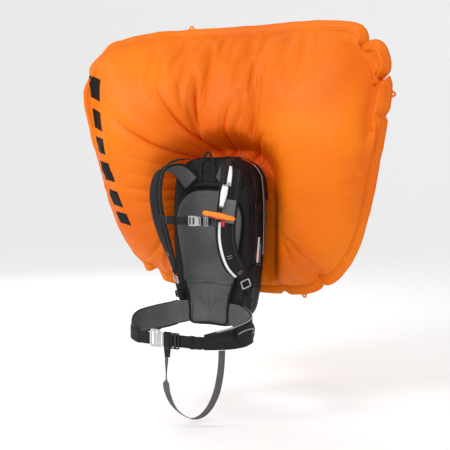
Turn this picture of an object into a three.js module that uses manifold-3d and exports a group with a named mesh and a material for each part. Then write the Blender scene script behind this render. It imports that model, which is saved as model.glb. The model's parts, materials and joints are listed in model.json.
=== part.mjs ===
// Avalanche airbag backpack, worn size about 30 litres, shown with its airbag inflated.
// Millimetres. +Z is up, -Y faces the wearer, +X is the wearer's left.
// The origin is the centre of the lumbar pad's flat contact face.
import * as THREE from "three";
import { mergeVertices } from "three/addons/utils/BufferGeometryUtils.js";
import Module from "manifold-3d";

const wasm = await Module();
wasm.setup();

// ---------------------------------------------------------------- driving dimensions
const GAP = 0.4; // clearance kept between neighbouring pieces
const PACK_HALF_WIDTH = 138;
const PACK_TOP = 484;
const PACK_BOTTOM = -68;
const PACK_FRONT_Y = 14; // plane of the tub's open rim, next to the wearer
const PACK_DEPTH = 163;
const PACK_CENTRE_Z = 215;
const PACK_WALL = 3;
const STRAP_WIDTH = 66;
const STRAP_THICKNESS = 11;
const HIP_WEBBING_WIDTH = 38;
const CHEST_WEBBING_WIDTH = 25;
const CHEST_Z = 286;
const LEG_WEBBING_WIDTH = 22;
const HIP_WEBBING_Z = -75;
const BELT_FRONT_Y = -250;
const BAG = { centreX: 18, halfTop: 648, halfBottom: 436, bottom: 18, top: 932, flange: 28, seamY: 205, wall: 2.5 };
const BAG_FRONT_SWELL = 168;
const BAG_REAR_SWELL = 140;
const HANDLE_LENGTH = 110;
const SIDES = { right: -1, left: 1 };

// ---------------------------------------------------------------- materials
const FINISH = {
  blackFabric: { color: 0x1b1b1d, roughness: 0.85, metalness: 0 },
  greyFoam: { color: 0x5c5c5e, roughness: 0.9, metalness: 0 },
  blackPlastic: { color: 0x141416, roughness: 0.45, metalness: 0 },
  greyWebbing: { color: 0x6a6b6d, roughness: 0.8, metalness: 0 },
  blackWebbing: { color: 0x222224, roughness: 0.8, metalness: 0 },
  whiteFabric: { color: 0xe8e8ea, roughness: 0.6, metalness: 0 },
  orangeNylon: { color: 0xf07c10, roughness: 0.45, metalness: 0 },
  orangePlastic: { color: 0xf08a1c, roughness: 0.35, metalness: 0 },
  redFabric: { color: 0xc4202a, roughness: 0.6, metalness: 0 },
  silver: { color: 0xc9cbce, roughness: 0.3, metalness: 1 },
  steel: { color: 0x9b9ea2, roughness: 0.35, metalness: 1 },
  silverTape: { color: 0xb9bcc0, roughness: 0.4, metalness: 0.2 },
};

function material(finish) {
  return new THREE.MeshStandardMaterial(FINISH[finish]);
}

// ---------------------------------------------------------------- geometry helpers
const vec = (x, y, z) => new THREE.Vector3(x, y, z);

function manifoldOf(geometry) {
  const bare = geometry.clone();
  bare.deleteAttribute("normal");
  bare.deleteAttribute("uv");
  const merged = mergeVertices(bare, 1e-3);
  return new wasm.Manifold(
    new wasm.Mesh({
      numProp: 3,
      vertProperties: merged.attributes.position.array,
      triVerts: new Uint32Array(merged.index.array),
    }),
  );
}

function geometryOf(solid) {
  const mesh = solid.getMesh();
  const geometry = new THREE.BufferGeometry();
  geometry.setAttribute("position", new THREE.BufferAttribute(mesh.vertProperties, 3));
  geometry.setIndex(new THREE.BufferAttribute(mesh.triVerts, 1));
  geometry.computeVertexNormals();
  return geometry;
}

function join(...geometries) {
  return geometryOf(geometries.map(manifoldOf).reduce((sum, piece) => sum.add(piece)));
}

function cut(geometry, ...tools) {
  return geometryOf(tools.map(manifoldOf).reduce((rest, tool) => rest.subtract(tool), manifoldOf(geometry)));
}

// A closed body through rings of points with equal counts, capped flat at both ends.
function loft(rings) {
  const count = rings[0].length;
  const points = rings.flat();
  const index = [];
  for (let ring = 0; ring + 1 < rings.length; ring++) {
    for (let i = 0; i < count; i++) {
      const a = ring * count + i;
      const b = ring * count + ((i + 1) % count);
      index.push(a, b, b + count, a, b + count, a + count);
    }
  }
  for (const [ring, flip] of [[0, true], [rings.length - 1, false]]) {
    const centre = new THREE.Vector3();
    rings[ring].forEach((point) => centre.addScaledVector(point, 1 / count));
    points.push(centre);
    for (let i = 0; i < count; i++) {
      const a = ring * count + i;
      const b = ring * count + ((i + 1) % count);
      index.push(...(flip ? [b, a, points.length - 1] : [a, b, points.length - 1]));
    }
  }
  const geometry = new THREE.BufferGeometry().setFromPoints(points);
  geometry.setIndex(index);
  return signedVolume(points, index) < 0 ? turnedOut(geometry) : geometry;
}

function signedVolume(points, index) {
  let sum = 0;
  for (let i = 0; i < index.length; i += 3) {
    const [a, b, c] = [points[index[i]], points[index[i + 1]], points[index[i + 2]]];
    sum += a.dot(b.clone().cross(c));
  }
  return sum / 6;
}

function turnedOut(geometry) {
  const index = Array.from(geometry.index.array);
  for (let i = 0; i < index.length; i += 3) {
    [index[i + 1], index[i + 2]] = [index[i + 2], index[i + 1]];
  }
  return geometry.setIndex(index);
}

function box(lowX, highX, lowY, highY, lowZ, highZ) {
  const geometry = new THREE.BoxGeometry(highX - lowX, highY - lowY, highZ - lowZ);
  return geometry.translate((lowX + highX) / 2, (lowY + highY) / 2, (lowZ + highZ) / 2);
}

// A closed outline in X and Z, mirrored about x = 0, from points down its +X half.
function mirroredOutline(half, samples) {
  const left = half.slice(1, -1).reverse();
  const loop = [...half, ...left.map(([x, z]) => [-x, z])];
  const curve = new THREE.CatmullRomCurve3(loop.map(([x, z]) => vec(x, 0, z)), true, "centripetal");
  return curve.getSpacedPoints(samples).slice(0, samples);
}

// One ring of an outline, scaled about its middle and set at a depth y.
function ringAt(outline, scale, y, centreZ) {
  return outline.map((p) => vec(p.x * scale, y, centreZ + (p.z - centreZ) * scale));
}

function turned(geometry, across, along, normal, position) {
  const matrix = new THREE.Matrix4().makeBasis(across, along, normal).setPosition(position);
  return geometry.applyMatrix4(matrix);
}

// Places a piece modelled flat in X (across), Y (along) and Z (outward normal).
function placed(geometry, position, along, normal) {
  const y = along.clone().normalize();
  const z = normal.clone().addScaledVector(y, -normal.dot(y)).normalize();
  return turned(geometry, y.clone().cross(z), y, z, position);
}

function roundedShape(width, height, radius) {
  const [w, h] = [width / 2, height / 2];
  const shape = new THREE.Shape();
  shape.moveTo(-w + radius, -h);
  shape.lineTo(w - radius, -h);
  shape.absarc(w - radius, -h + radius, radius, -Math.PI / 2, 0, false);
  shape.absarc(w - radius, h - radius, radius, 0, Math.PI / 2, false);
  shape.absarc(-w + radius, h - radius, radius, Math.PI / 2, Math.PI, false);
  shape.absarc(-w + radius, -h + radius, radius, Math.PI, Math.PI * 1.5, false);
  return shape;
}

// A flat plate with rounded corners and rectangular slots: [centre along, slot height, slot width].
function slottedPlate(width, height, thickness, radius, slots) {
  const shape = roundedShape(width, height, radius);
  for (const [centre, slotHeight, slotWidth] of slots) {
    const hole = new THREE.Path();
    hole.moveTo(-slotWidth / 2, centre - slotHeight / 2);
    hole.lineTo(-slotWidth / 2, centre + slotHeight / 2);
    hole.lineTo(slotWidth / 2, centre + slotHeight / 2);
    hole.lineTo(slotWidth / 2, centre - slotHeight / 2);
    shape.holes.push(hole);
  }
  const settings = { depth: thickness, bevelEnabled: false, curveSegments: 3 };
  return new THREE.ExtrudeGeometry(shape, settings).translate(0, 0, -thickness / 2);
}

// A round rod, tube or cord along a smooth curve through points.
function rod(points, radius, steps, sides) {
  const curve = new THREE.CatmullRomCurve3(points.map((p) => vec(...p)), false, "centripetal");
  const section = new THREE.Shape();
  section.absarc(0, 0, radius, 0, Math.PI * 2, false);
  const settings = { steps, extrudePath: curve, bevelEnabled: false, curveSegments: sides };
  return new THREE.ExtrudeGeometry(section, settings);
}

// A solid of revolution about a line parallel to Z through (x, y); the profile runs from axis to axis.
function turnedBody(profile, segments) {
  const points = profile.map(([radius, height]) => new THREE.Vector2(radius, height));
  return new THREE.LatheGeometry(points, segments).rotateX(Math.PI / 2);
}

// A smooth route with an outward normal at each point, for straps, webbing and strips on them.
class Route {
  constructor(points, normals) {
    this.line = new THREE.CatmullRomCurve3(points.map((p) => vec(...p)), false, "centripetal");
    this.facing = new THREE.CatmullRomCurve3(normals.map((n) => vec(...n).normalize()), false, "catmullrom");
  }

  at(t, across = 0, up = 0) {
    const tangent = this.line.getTangent(t);
    const normal = this.facing.getPoint(t);
    normal.addScaledVector(tangent, -normal.dot(tangent)).normalize();
    const side = tangent.clone().cross(normal);
    const point = this.line.getPoint(t).addScaledVector(side, across).addScaledVector(normal, up);
    return { point, tangent, normal, side };
  }
}

// A flat band along a route between t = from and t = to; width may vary along it.
function band(route, width, thickness, steps, { from = 0, to = 1, across = 0, up = 0 } = {}) {
  const widthAt = typeof width === "function" ? width : () => width;
  const rings = [];
  for (let i = 0; i <= steps; i++) {
    const t = from + ((to - from) * i) / steps;
    const half = widthAt(t) / 2;
    const corner = (side, level) => route.at(t, across + side * half, up + (level * thickness) / 2).point;
    rings.push([corner(-1, -1), corner(1, -1), corner(1, 1), corner(-1, 1)]);
  }
  return loft(rings);
}

const object = new THREE.Group();

function add(name, geometry, finish) {
  const mesh = new THREE.Mesh(geometry, material(finish));
  mesh.name = name;
  object.add(mesh);
}

// ---------------------------------------------------------------- pack body
const PACK_OUTLINE = mirroredOutline(
  [
    [0, PACK_TOP],
    [60, 478],
    [100, 457],
    [125, 424],
    [136, 360],
    [PACK_HALF_WIDTH, 250],
    [133, 140],
    [120, 20],
    [104, -38],
    [72, -66],
    [0, PACK_BOTTOM],
  ],
  36,
);
// Depth behind the rim and the outline's scale there: nearly square sides and a rounded outer face.
const PACK_SECTIONS = [
  [0, 0.995],
  [40, 1.015],
  [95, 1.02],
  [130, 0.99],
  [148, 0.93],
  [157, 0.83],
  [162, 0.64],
];

function packScaleAt(depth) {
  const next = PACK_SECTIONS.findIndex(([d]) => d >= depth);
  if (next <= 0) {
    return PACK_SECTIONS[next < 0 ? PACK_SECTIONS.length - 1 : 0][1];
  }
  const [lowDepth, lowScale] = PACK_SECTIONS[next - 1];
  const [highDepth, highScale] = PACK_SECTIONS[next];
  return lowScale + ((highScale - lowScale) * (depth - lowDepth)) / (highDepth - lowDepth);
}

function packHull(inset, frontY) {
  const shrink = inset / PACK_HALF_WIDTH;
  const rings = PACK_SECTIONS.map(([depth, scale], i) => {
    const y = i === 0 ? frontY : PACK_FRONT_Y + depth - (depth / PACK_DEPTH) * inset;
    return ringAt(PACK_OUTLINE, scale - shrink, y, PACK_CENTRE_Z);
  });
  return loft(rings);
}

// A point on the pack's side wall: the half-width there, at a height and a depth behind the rim.
function packSideX(z, depth) {
  const scale = packScaleAt(depth);
  const height = PACK_CENTRE_Z + (z - PACK_CENTRE_Z) / scale;
  const right = PACK_OUTLINE.filter((p) => p.x > 60).sort((a, b) => a.z - b.z);
  const above = right.findIndex((p) => p.z >= height);
  const [low, high] = [right[above - 1], right[above]];
  const share = (height - low.z) / (high.z - low.z);
  return (low.x + (high.x - low.x) * share) * scale;
}

// A point lifted off the pack's +X wall, with the wall's outward normal there.
function packWall(z, depth, lift) {
  const step = 4;
  const slope = (packSideX(z + step, depth) - packSideX(z - step, depth)) / (2 * step);
  const normal = vec(1, 0, -slope).normalize();
  const point = vec(packSideX(z, depth), PACK_FRONT_Y + depth, z).addScaledVector(normal, lift);
  return { point, normal };
}

const INLET = { z: 360, radius: 30 };

function makePackShell() {
  const inletHole = new THREE.CylinderGeometry(INLET.radius, INLET.radius, 60, 24).translate(0, 165, INLET.z);
  const cableHole = box(93, 105, 10, 22, 380, 392);
  return cut(packHull(0, PACK_FRONT_Y), packHull(PACK_WALL, PACK_FRONT_Y - 5), inletHole, cableHole);
}

function makeBackSheet() {
  const rings = [
    ringAt(PACK_OUTLINE, 0.985, 9.5, PACK_CENTRE_Z),
    ringAt(PACK_OUTLINE, 0.985, PACK_FRONT_Y - GAP, PACK_CENTRE_Z),
  ];
  return loft(rings);
}

function makeFrameRod() {
  const half = 92;
  const points = [
    [-half * 0.72, 21, -40],
    [-half, 21, 120],
    [-half, 21, 330],
    [-half * 0.6, 21, 408],
    [0, 21, 428],
    [half * 0.6, 21, 408],
    [half, 21, 330],
    [half, 21, 120],
    [half * 0.72, 21, -40],
  ];
  return rod(points, 3, 48, 4);
}

// Belt stations: plan position and the band's upper and lower edge, from the lumbar pad to the padded tip.
const LUMBAR_STATIONS = [
  [62, 3.5, 8, -58],
  [88, 1.5, 8, -66],
  [110.2, -2.0, 6, -72],
];
const WING_STATIONS = [
  [113.6, -2.8, 6, -72],
  [142, -14, -2, -82],
  [184, -58, -12, -92],
  [202, -118, -20, -96],
  [184, -176, -32, -97],
  [150, -216, -42, -96],
  [116, -240, -52, -95],
];
const WING_THICKNESS = 11;

// A padded belt band through its stations, thinning towards the tip.
function makeWing(sign, stations) {
  const centre = new THREE.CatmullRomCurve3(stations.map(([x, y]) => vec(sign * x, y, 0)));
  const edges = new THREE.CatmullRomCurve3(stations.map((s) => vec(s[2], s[3], 0)));
  const steps = stations.length * 3;
  const rings = [];
  for (let i = 0; i <= steps; i++) {
    const t = i / steps;
    const point = centre.getPoint(t);
    const tangent = centre.getTangent(t);
    const outward = vec(-tangent.y * sign, tangent.x * sign, 0);
    const [top, bottom] = [edges.getPoint(t).x, edges.getPoint(t).y];
    const taper = stations === WING_STATIONS ? Math.max(0, (t - 0.75) / 0.25) : 0;
    const half = (WING_THICKNESS / 2) * (1 - 0.6 * taper);
    const corner = (out, z) => vec(point.x + outward.x * out, point.y + outward.y * out, z);
    rings.push([
      corner(-half, bottom + 5),
      corner(0, bottom),
      corner(half, bottom + 5),
      corner(half, top - 5),
      corner(0, top),
      corner(-half, top - 5),
    ]);
  }
  return loft(rings);
}

// A foam pad with softened edges, from its rear plane to its flat wearer face.
function foamPad(half, rearY, faceY, edge) {
  const outline = mirroredOutline(half, 28);
  const zs = outline.map((p) => p.z);
  const middle = (Math.min(...zs) + Math.max(...zs)) / 2;
  return loft([
    ringAt(outline, 0.985, rearY, middle),
    ringAt(outline, 1, faceY + edge, middle),
    ringAt(outline, 0.985, faceY + edge * 0.35, middle),
    ringAt(outline, 0.94, faceY, middle),
  ]);
}

const PAD_REAR_Y = 9;
const BACK_PAD_FACE_Y = -8;

function makePads() {
  const backPad = foamPad(
    [[0, 377], [58, 372], [98, 344], [118, 300], [117, 240], [106, 175], [96, 120], [88, 80], [0, 80]],
    PAD_REAR_Y,
    BACK_PAD_FACE_Y,
    8,
  );
  add("back_pad", backPad, "greyFoam");
  const lumbarPad = foamPad([[0, 68], [84, 68], [76, 30], [70, -20], [65, -60], [0, -60]], PAD_REAR_Y, 0, 6);
  // Stub wings join the pad to the hip belt.
  add("lumbar_pad", join(lumbarPad, makeWing(-1, LUMBAR_STATIONS), makeWing(1, LUMBAR_STATIONS)), "greyFoam");
  const yoke = foamPad([[0, 470], [70, 464], [108, 432], [119, 391], [0, 391]], PAD_REAR_Y, -5, 5);
  add("yoke_panel", yoke, "blackFabric");
}

// The opened cover of the airbag compartment: a strip that stands along the pack's domed top.
function makeBurstFlap() {
  const y = 150;
  const scale = packScaleAt(y - 9 - PACK_FRONT_Y);
  const top = PACK_OUTLINE.filter((p) => p.z > 330).sort((a, b) => a.x - b.x);
  const lift = 3.6;
  const points = [];
  const normals = [];
  for (const p of top) {
    const outward = vec(p.x / PACK_HALF_WIDTH, 0, Math.max(p.z - 330, 0) / 154).normalize();
    const z = PACK_CENTRE_Z + (p.z - PACK_CENTRE_Z) * scale;
    points.push([p.x * scale + outward.x * lift, y, z + outward.z * lift]);
    normals.push([outward.x, 0.15, outward.z]);
  }
  return band(new Route(points, normals), 16, 2, 24);
}

function makeHaulLoop() {
  const points = [
    [-26, -8, 408],
    [-26, -8.5, 440],
    [-19, -7, 476],
    [0, -3, 502],
    [19, -7, 476],
    [26, -8.5, 440],
    [26, -8, 408],
  ];
  return band(new Route(points, points.map(() => [0, -1, 0.1])), 8, 3, 24);
}

// ---------------------------------------------------------------- side wall fittings
const ZIP = { depth: 112, sliderZ: 300 };

function makeMainZip() {
  const points = [];
  const normals = [];
  for (const z of [458, 440, 418, 390, 350, 300, 250, 200, 160]) {
    const { point, normal } = packWall(z, ZIP.depth, z > 400 ? 4.2 : 2.6);
    points.push(point.toArray());
    normals.push(normal.toArray());
  }
  return band(new Route(points, normals), 9, 1.6, 22);
}

function makeMainZipSlider() {
  const x = packSideX(ZIP.sliderZ, ZIP.depth) + 6;
  const y = PACK_FRONT_Y + ZIP.depth;
  add("main_zip_slider", box(x - 2, x + 2, y - 5, y + 5, ZIP.sliderZ - 7, ZIP.sliderZ + 7), "silver");
  const pull = slottedPlate(6, 24, 1.4, 2.5, [[9, 2.4, 3]]);
  const position = vec(x + 3.6, y, ZIP.sliderZ - 11);
  add("main_zip_pull", placed(pull, position, vec(0, 0, 1), vec(1, 0, 0)), "silver");
}

const SIDE_STRAP = { z: 322, width: 20 };

// A compression strap across one side wall with a side-release buckle in its middle.
function makeSideStrap(side, sign) {
  const z = SIDE_STRAP.z;
  const wall = (depth) => packSideX(z, depth) * sign;
  const points = [14, 36, 58, 80, 102].map((depth) => {
    return [wall(depth) + sign * 1.9, PACK_FRONT_Y + depth, z];
  });
  const webbing = band(new Route(points, points.map(() => [sign, 0, 0])), SIDE_STRAP.width, 1.6, 10);
  const outside = Math.abs(wall(60)) + 6.2;
  const span = (low, high) => [Math.min(sign * low, sign * high), Math.max(sign * low, sign * high)];
  const socketBody = box(...span(outside - 4.5, outside + 4), 40, 66, z - 13, z + 13);
  const socketBore = box(...span(outside - 2, outside + 2.5), 47, 70, z - 9.5, z + 9.5);
  add(`side_strap_${side}`, join(webbing, cut(socketBody, socketBore)), "blackWebbing");
  const plugBody = box(...span(outside - 2.6, outside + 3.2), 68, 88, z - 12, z + 12);
  const prongs = box(...span(outside - 1.4, outside + 1.9), 50, 69, z - 8.8, z + 8.8);
  const prongGap = box(...span(outside - 5, outside + 5), 45, 64, z - 4, z + 4);
  const plugSlot = box(...span(outside - 5, outside + 5), 79, 82, z - 10, z + 10);
  add(`side_buckle_plug_${side}`, cut(join(plugBody, prongs), prongGap, plugSlot), "blackPlastic");
}

// ---------------------------------------------------------------- airbag and its inflation system
function bagOutline(angle, inset) {
  const power = 4.2;
  const [c, s] = [Math.cos(angle), Math.sin(angle)];
  const reach = (Math.abs(c) ** power + Math.abs(s) ** power) ** (-1 / power);
  const middle = (BAG.top + BAG.bottom) / 2;
  const halfHeight = (BAG.top - BAG.bottom) / 2 - inset;
  const z = middle + halfHeight * s * reach;
  const share = (z - BAG.bottom) / (BAG.top - BAG.bottom);
  const half = BAG.halfBottom + (BAG.halfTop - BAG.halfBottom) * share - inset;
  return [BAG.centreX + half * c * reach, z, middle];
}

function bagSeamY(x) {
  return BAG.seamY - 150 * ((x - BAG.centreX) / 548) ** 2;
}

// How far a point lies outside the pack's outline, in plan with the airbag's sheet.
function outsidePack(x, z) {
  const [halfWidth, halfHeight, radius] = [PACK_HALF_WIDTH + 18, 300, 110];
  const dx = Math.abs(x) - halfWidth + radius;
  const dz = Math.abs(z - PACK_CENTRE_Z + 6) - halfHeight + radius;
  return Math.hypot(Math.max(dx, 0), Math.max(dz, 0)) + Math.min(Math.max(dx, dz), 0) - radius;
}

// One skin of the inflated pillow, pressed in by the pack; inset shrinks it to the inner skin.
function bagSkin(inset) {
  const around = 36;
  const levels = [0.04, 0.18, 0.34, 0.5, 0.68, 0.83, 0.93, 0.985, 1];
  const pressedY = 183 + inset;
  const ring = (level, face) => {
    const points = [];
    for (let i = 0; i < around; i++) {
      const [edgeX, edgeZ, middle] = bagOutline((i / around) * Math.PI * 2, BAG.flange + inset * 2);
      const x = BAG.centreX + (edgeX - BAG.centreX) * level;
      const z = middle + (edgeZ - middle) * level;
      const swell = (1 - level ** 3) ** 0.6 * ((face < 0 ? BAG_FRONT_SWELL : BAG_REAR_SWELL) - inset);
      let y = bagSeamY(x) + face * (1 + swell);
      if (face < 0) {
        y = Math.max(y, pressedY - 1.6 * Math.max(0, outsidePack(x, z) - inset));
        y = Math.min(y, bagSeamY(x) - 1);
      }
      points.push(vec(x, y, z));
    }
    return points;
  };
  const front = levels.map((level) => ring(level, -1));
  const rear = levels.map((level) => ring(level, 1)).reverse();
  return { front, rear, around };
}

// The airbag: a hollow pillow with a flat welded flange round its edge and an inlet behind the pack.
function makeAirbag() {
  const { front, rear, around } = bagSkin(0);
  const flange = (face) => {
    const points = [];
    for (let i = 0; i < around; i++) {
      const [x, z] = bagOutline((i / around) * Math.PI * 2, 0);
      points.push(vec(x, bagSeamY(x) + face, z));
    }
    return points;
  };
  const inner = bagSkin(BAG.wall);
  const inlet = new THREE.CylinderGeometry(20, 20, 40, 16).translate(0, 190, INLET.z);
  return cut(loft([...front, flange(-1), flange(1), ...rear]), loft([...inner.front, ...inner.rear]), inlet);
}

function makeInflationSystem() {
  const unitProfile = [[0, 0], [21, 0], [24, 12], [24, 60], [28, 78], [28, 96], [0, 96]];
  const unit = turnedBody(unitProfile, 20).rotateX(-Math.PI / 2).translate(0, 66, INLET.z);
  add("inflation_unit", unit, "blackPlastic");
  const ringProfile = [[20, 0], [28.5, 0], [28.5, 12], [36, 12], [36, 15], [20, 15], [20, 0]];
  const ring = turnedBody(ringProfile, 24).rotateX(-Math.PI / 2).translate(0, 165.6, INLET.z);
  add("airbag_inlet_ring", ring, "blackPlastic");
  const [x, y] = [-58, 78];
  const bottle = [[0, 0], [18, 2], [27, 14], [27, 150], [20, 168], [9, 176], [9, 196], [0, 196]];
  add("gas_cartridge", turnedBody(bottle, 20).translate(x, y, 110), "steel");
  const head = cut(
    join(box(x - 17, x + 17, y - 15, y + 15, 290, 336), box(x - 8, x + 40, y - 8, y + 8, 312, 328)),
    new THREE.CylinderGeometry(10, 10, 30, 20).rotateX(Math.PI / 2).translate(x, y, 293),
    box(x - 5, x + 5, y - 20, y - 6.5, 300, 345),
  );
  add("firing_head", head, "silver");
  const lever = join(box(x - 3, x + 3, y - 14, y - 10, 308, 356), box(x - 9, x + 9, y - 14, y - 10, 350, 356));
  add("firing_lever", lever, "steel");
  const hose = rod([[x + 41.4, y, 320], [-6, y + 2, 317], [0, y + 16, 319], [0, y + 26, 333.4]], 4, 14, 4);
  add("gas_hose", hose, "blackPlastic");
}

// ---------------------------------------------------------------- shoulder harness
// Padded shoulder strap from the yoke over the shoulder and down to its ring, one route per side.
function strapRoute(sign) {
  const lower = sign > 0
    ? [[120, -64, 150], [136, -22, 106]]
    : [[-105, -62, 150], [-103, -46, 106]];
  const points = [
    [sign * 58, -12, 402],
    [sign * 96, -40, 447],
    [sign * 128, -84, 442],
    [sign * 135, -110, 380],
    [sign * 125, -113, 300],
    [sign * 113, -92, 220],
    ...lower,
  ];
  const lowerNormals = sign > 0
    ? [[0.55, -0.8, -0.3], [0.8, -0.55, -0.2]]
    : [[-0.6, -0.75, -0.3], [-0.8, -0.55, -0.3]];
  const normals = [
    [0, 1, 0],
    [sign * 0.2, 0.55, 0.8],
    [sign * 0.35, -0.35, 0.87],
    [sign * 0.38, -0.92, 0.15],
    [sign * 0.35, -0.93, -0.05],
    [sign * 0.4, -0.88, -0.25],
    ...lowerNormals,
  ];
  return new Route(points, normals);
}

const STRAP_ROUTES = { right: strapRoute(-1), left: strapRoute(1) };

function strapWidthAt(t) {
  return STRAP_WIDTH - 8 * t - 26 * Math.max(0, (t - 0.85) / 0.15) ** 2;
}

function makeShoulderStrap(side, sign) {
  const route = STRAP_ROUTES[side];
  add(`shoulder_strap_${side}`, band(route, strapWidthAt, STRAP_THICKNESS, 30), "blackFabric");
  // Load lifter webbing from the pack's top edge to a ladder-lock on the strap.
  const rear = sign * 80;
  const lifter = new Route(
    [[rear, 10, 478], [rear + sign * 3, 2, 480], [rear + sign * 6, -5, 480]],
    [[0, -0.2, 1], [0, -0.1, 1], [0, 0, 1]],
  );
  add(`load_lifter_${side}`, band(lifter, 18, 1.8, 4), "blackWebbing");
  const lock = slottedPlate(26, 24, 4, 4, [[5.5, 3.5, 19], [-5.5, 3.5, 19]]);
  const lockPlace = vec(sign * 93, -24, 478);
  add(`lifter_lock_${side}`, placed(lock, lockPlace, vec(sign * -0.35, 1, 0.12), vec(0, -0.1, 1)), "blackPlastic");
}

const RING_PLACES = {
  right: { centre: vec(-105, -36, 84), along: vec(0.08, -0.5, 1), normal: vec(-0.6, -0.8, -0.3) },
  left: { centre: vec(139, -6, 78), along: vec(-0.08, -0.5, 1), normal: vec(0.75, -0.6, -0.2) },
};
const LOWER_ROUTES = {
  right: new Route(
    [[-106, -26, 66], [-108, -14, 46], [-108, -3, 26], [-106, 5.5, 6]],
    [[-0.4, -0.85, -0.5], [-0.3, -0.85, -0.5], [-0.1, -0.95, -0.4], [0, -1, -0.1]],
  ),
  left: new Route(
    [[140, 6, 63], [138, 20, 52], [131, 44, 42], [129, 66, 34]],
    [[0.9, -0.4, -0.2], [1, -0.2, -0.1], [1, 0, -0.08], [1, 0, -0.1]],
  ),
};
const LADDER_PLACES = {
  right: { centre: vec(-108.2, -12.2, 28.5), along: vec(0.02, -0.42, 1), normal: vec(-0.1, -1, -0.4) },
  left: { centre: vec(137.4, 46, 42), along: vec(0, -1, 0.42), normal: vec(1, 0, -0.1) },
};

function makeLowerStrap(side) {
  const ring = RING_PLACES[side];
  const wire = slottedPlate(32, 30, 3.2, 5, [[0, 23, 25]]);
  add(`strap_ring_${side}`, placed(wire, ring.centre, ring.along, ring.normal), "silver");
  add(`lower_webbing_${side}`, band(LOWER_ROUTES[side], 20, 1.8, 10), "blackWebbing");
  const ladder = LADDER_PLACES[side];
  const lock = slottedPlate(27, 24, 4, 4, [[5.5, 3.5, 20.5], [-5.5, 3.5, 20.5]]);
  add(`ladder_lock_${side}`, placed(lock, ladder.centre, ladder.along, ladder.normal), "blackPlastic");
}

// ---------------------------------------------------------------- chest strap
function makeChestStrap() {
  const z = CHEST_Z;
  const slider = (side, sign, x) => {
    const plate = slottedPlate(34, 14, 3.4, 4, [[0, 4.5, 26]]);
    const place = vec(x, -136, z);
    add(`chest_slider_${side}`, placed(plate, place, vec(1, 0, 0), vec(sign * 0.25, -1, 0)), "blackPlastic");
  };
  slider("right", -1, -98);
  slider("left", 1, 98);
  const webbing = (points) => {
    const route = new Route(points, points.map(() => [0, -1, 0]));
    return band(route, CHEST_WEBBING_WIDTH, 1.8, 12);
  };
  add("chest_webbing_right", webbing([[-89, -140.5, z], [-40, -143.5, z], [5.5, -144, z]]), "blackWebbing");
  add("chest_webbing_left", webbing([[53, -144, z], [70, -144, z], [89, -140.5, z]]), "blackWebbing");
  const frame = slottedPlate(32, 30, 2.6, 4, [[-9, 6, 25], [4, 8, 22]]);
  add("chest_buckle_frame", placed(frame, vec(22, -144, z), vec(1, 0, 0), vec(0, -1, 0)), "silver");
  const hook = slottedPlate(28, 22, 2.2, 3, [[6.5, 4, 22]]);
  add("chest_buckle_hook", placed(hook, vec(42, -147.6, z), vec(1, 0, 0), vec(0, -1, 0)), "silver");
  const adjuster = slottedPlate(30, 16, 3, 3, [[-3.4, 3, 25.6], [3.4, 3, 25.6]]);
  add("chest_adjuster", placed(adjuster, vec(72, -147.4, z), vec(1, 0, 0), vec(0, -1, 0)), "steel");
}

// ---------------------------------------------------------------- trigger handle and its pocket
const SLEEVE_TOP = vec(131, -128.5, 400);
const SLEEVE_END = vec(118, -133.5, 331);
const HANDLE_CENTRE = vec(125, -162, 306);
const PULL = SLEEVE_END.clone().sub(SLEEVE_TOP).normalize();

function makeTrigger() {
  const shape = new THREE.Shape();
  const [half, height] = [HANDLE_LENGTH / 2, 10];
  shape.moveTo(-half, -height * 0.7);
  shape.quadraticCurveTo(-half - 3, 0, -half, height * 0.9);
  shape.quadraticCurveTo(0, height * 0.55, half, height * 0.9);
  shape.quadraticCurveTo(half + 3, 0, half, -height * 0.7);
  shape.quadraticCurveTo(0, -height * 1.15, -half, -height * 0.7);
  const settings = {
    depth: 12, bevelEnabled: true, bevelSize: 2.5, bevelThickness: 3, bevelSegments: 2, curveSegments: 6,
  };
  const grip = new THREE.ExtrudeGeometry(shape, settings).translate(0, 0, -6);
  const tilt = Math.tan(THREE.MathUtils.degToRad(9));
  const screwHole = new THREE.CylinderGeometry(3.2, 3.2, 6, 12).rotateX(Math.PI / 2).translate(0, 0, 9);
  const handle = placed(cut(grip, screwHole), HANDLE_CENTRE, vec(tilt, 0, 1), vec(0, -1, 0));
  add("trigger_handle", handle, "orangePlastic");
  const screw = new THREE.CylinderGeometry(2.7, 2.7, 2.2, 12).translate(125, -170.4, 306);
  add("trigger_handle_screw", screw, "steel");
  const inside = SLEEVE_END.clone().addScaledVector(PULL, -52);
  const cable = rod(
    [
      inside.toArray(),
      SLEEVE_END.clone().addScaledVector(PULL, -12).toArray(),
      SLEEVE_END.clone().addScaledVector(PULL, 5).toArray(),
      [118, -142, 318],
      [121, -149, 314.5],
      [122.5, -152.4, 314],
    ],
    1.5,
    30,
    3,
  );
  add("trigger_cable_end", cable, "blackPlastic");
  const tag = box(132, 142, -157.6, -156.4, 273, 289);
  add("safety_tag", tag, "redFabric");
}

// The white pocket on the wearer's left strap, bored for the cable, with its short zip above.
function makeHandlePocket() {
  const facing = [0.12, -1, -0.08];
  const route = new Route([SLEEVE_TOP.toArray(), SLEEVE_END.toArray()], [facing, facing]);
  const sleeve = band(route, (t) => 14 + 7 * Math.sin(Math.PI * Math.min(1, t + 0.15)), 8, 6);
  const bore = new THREE.CylinderGeometry(2.6, 2.6, 120, 12);
  const middle = SLEEVE_TOP.clone().lerp(SLEEVE_END, 0.5);
  const boreTool = placed(bore, middle, PULL, vec(0, -1, 0));
  add("handle_pocket", cut(sleeve, boreTool), "whiteFabric");
  const spot = STRAP_ROUTES.left.at(0.39, 4, STRAP_THICKNESS / 2 + 4.6);
  const slider = slottedPlate(8, 11, 3, 2, [[-2.5, 2, 3.4]]);
  add("pocket_zip_slider", placed(slider, spot.point, spot.tangent, spot.normal), "steel");
}

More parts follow.
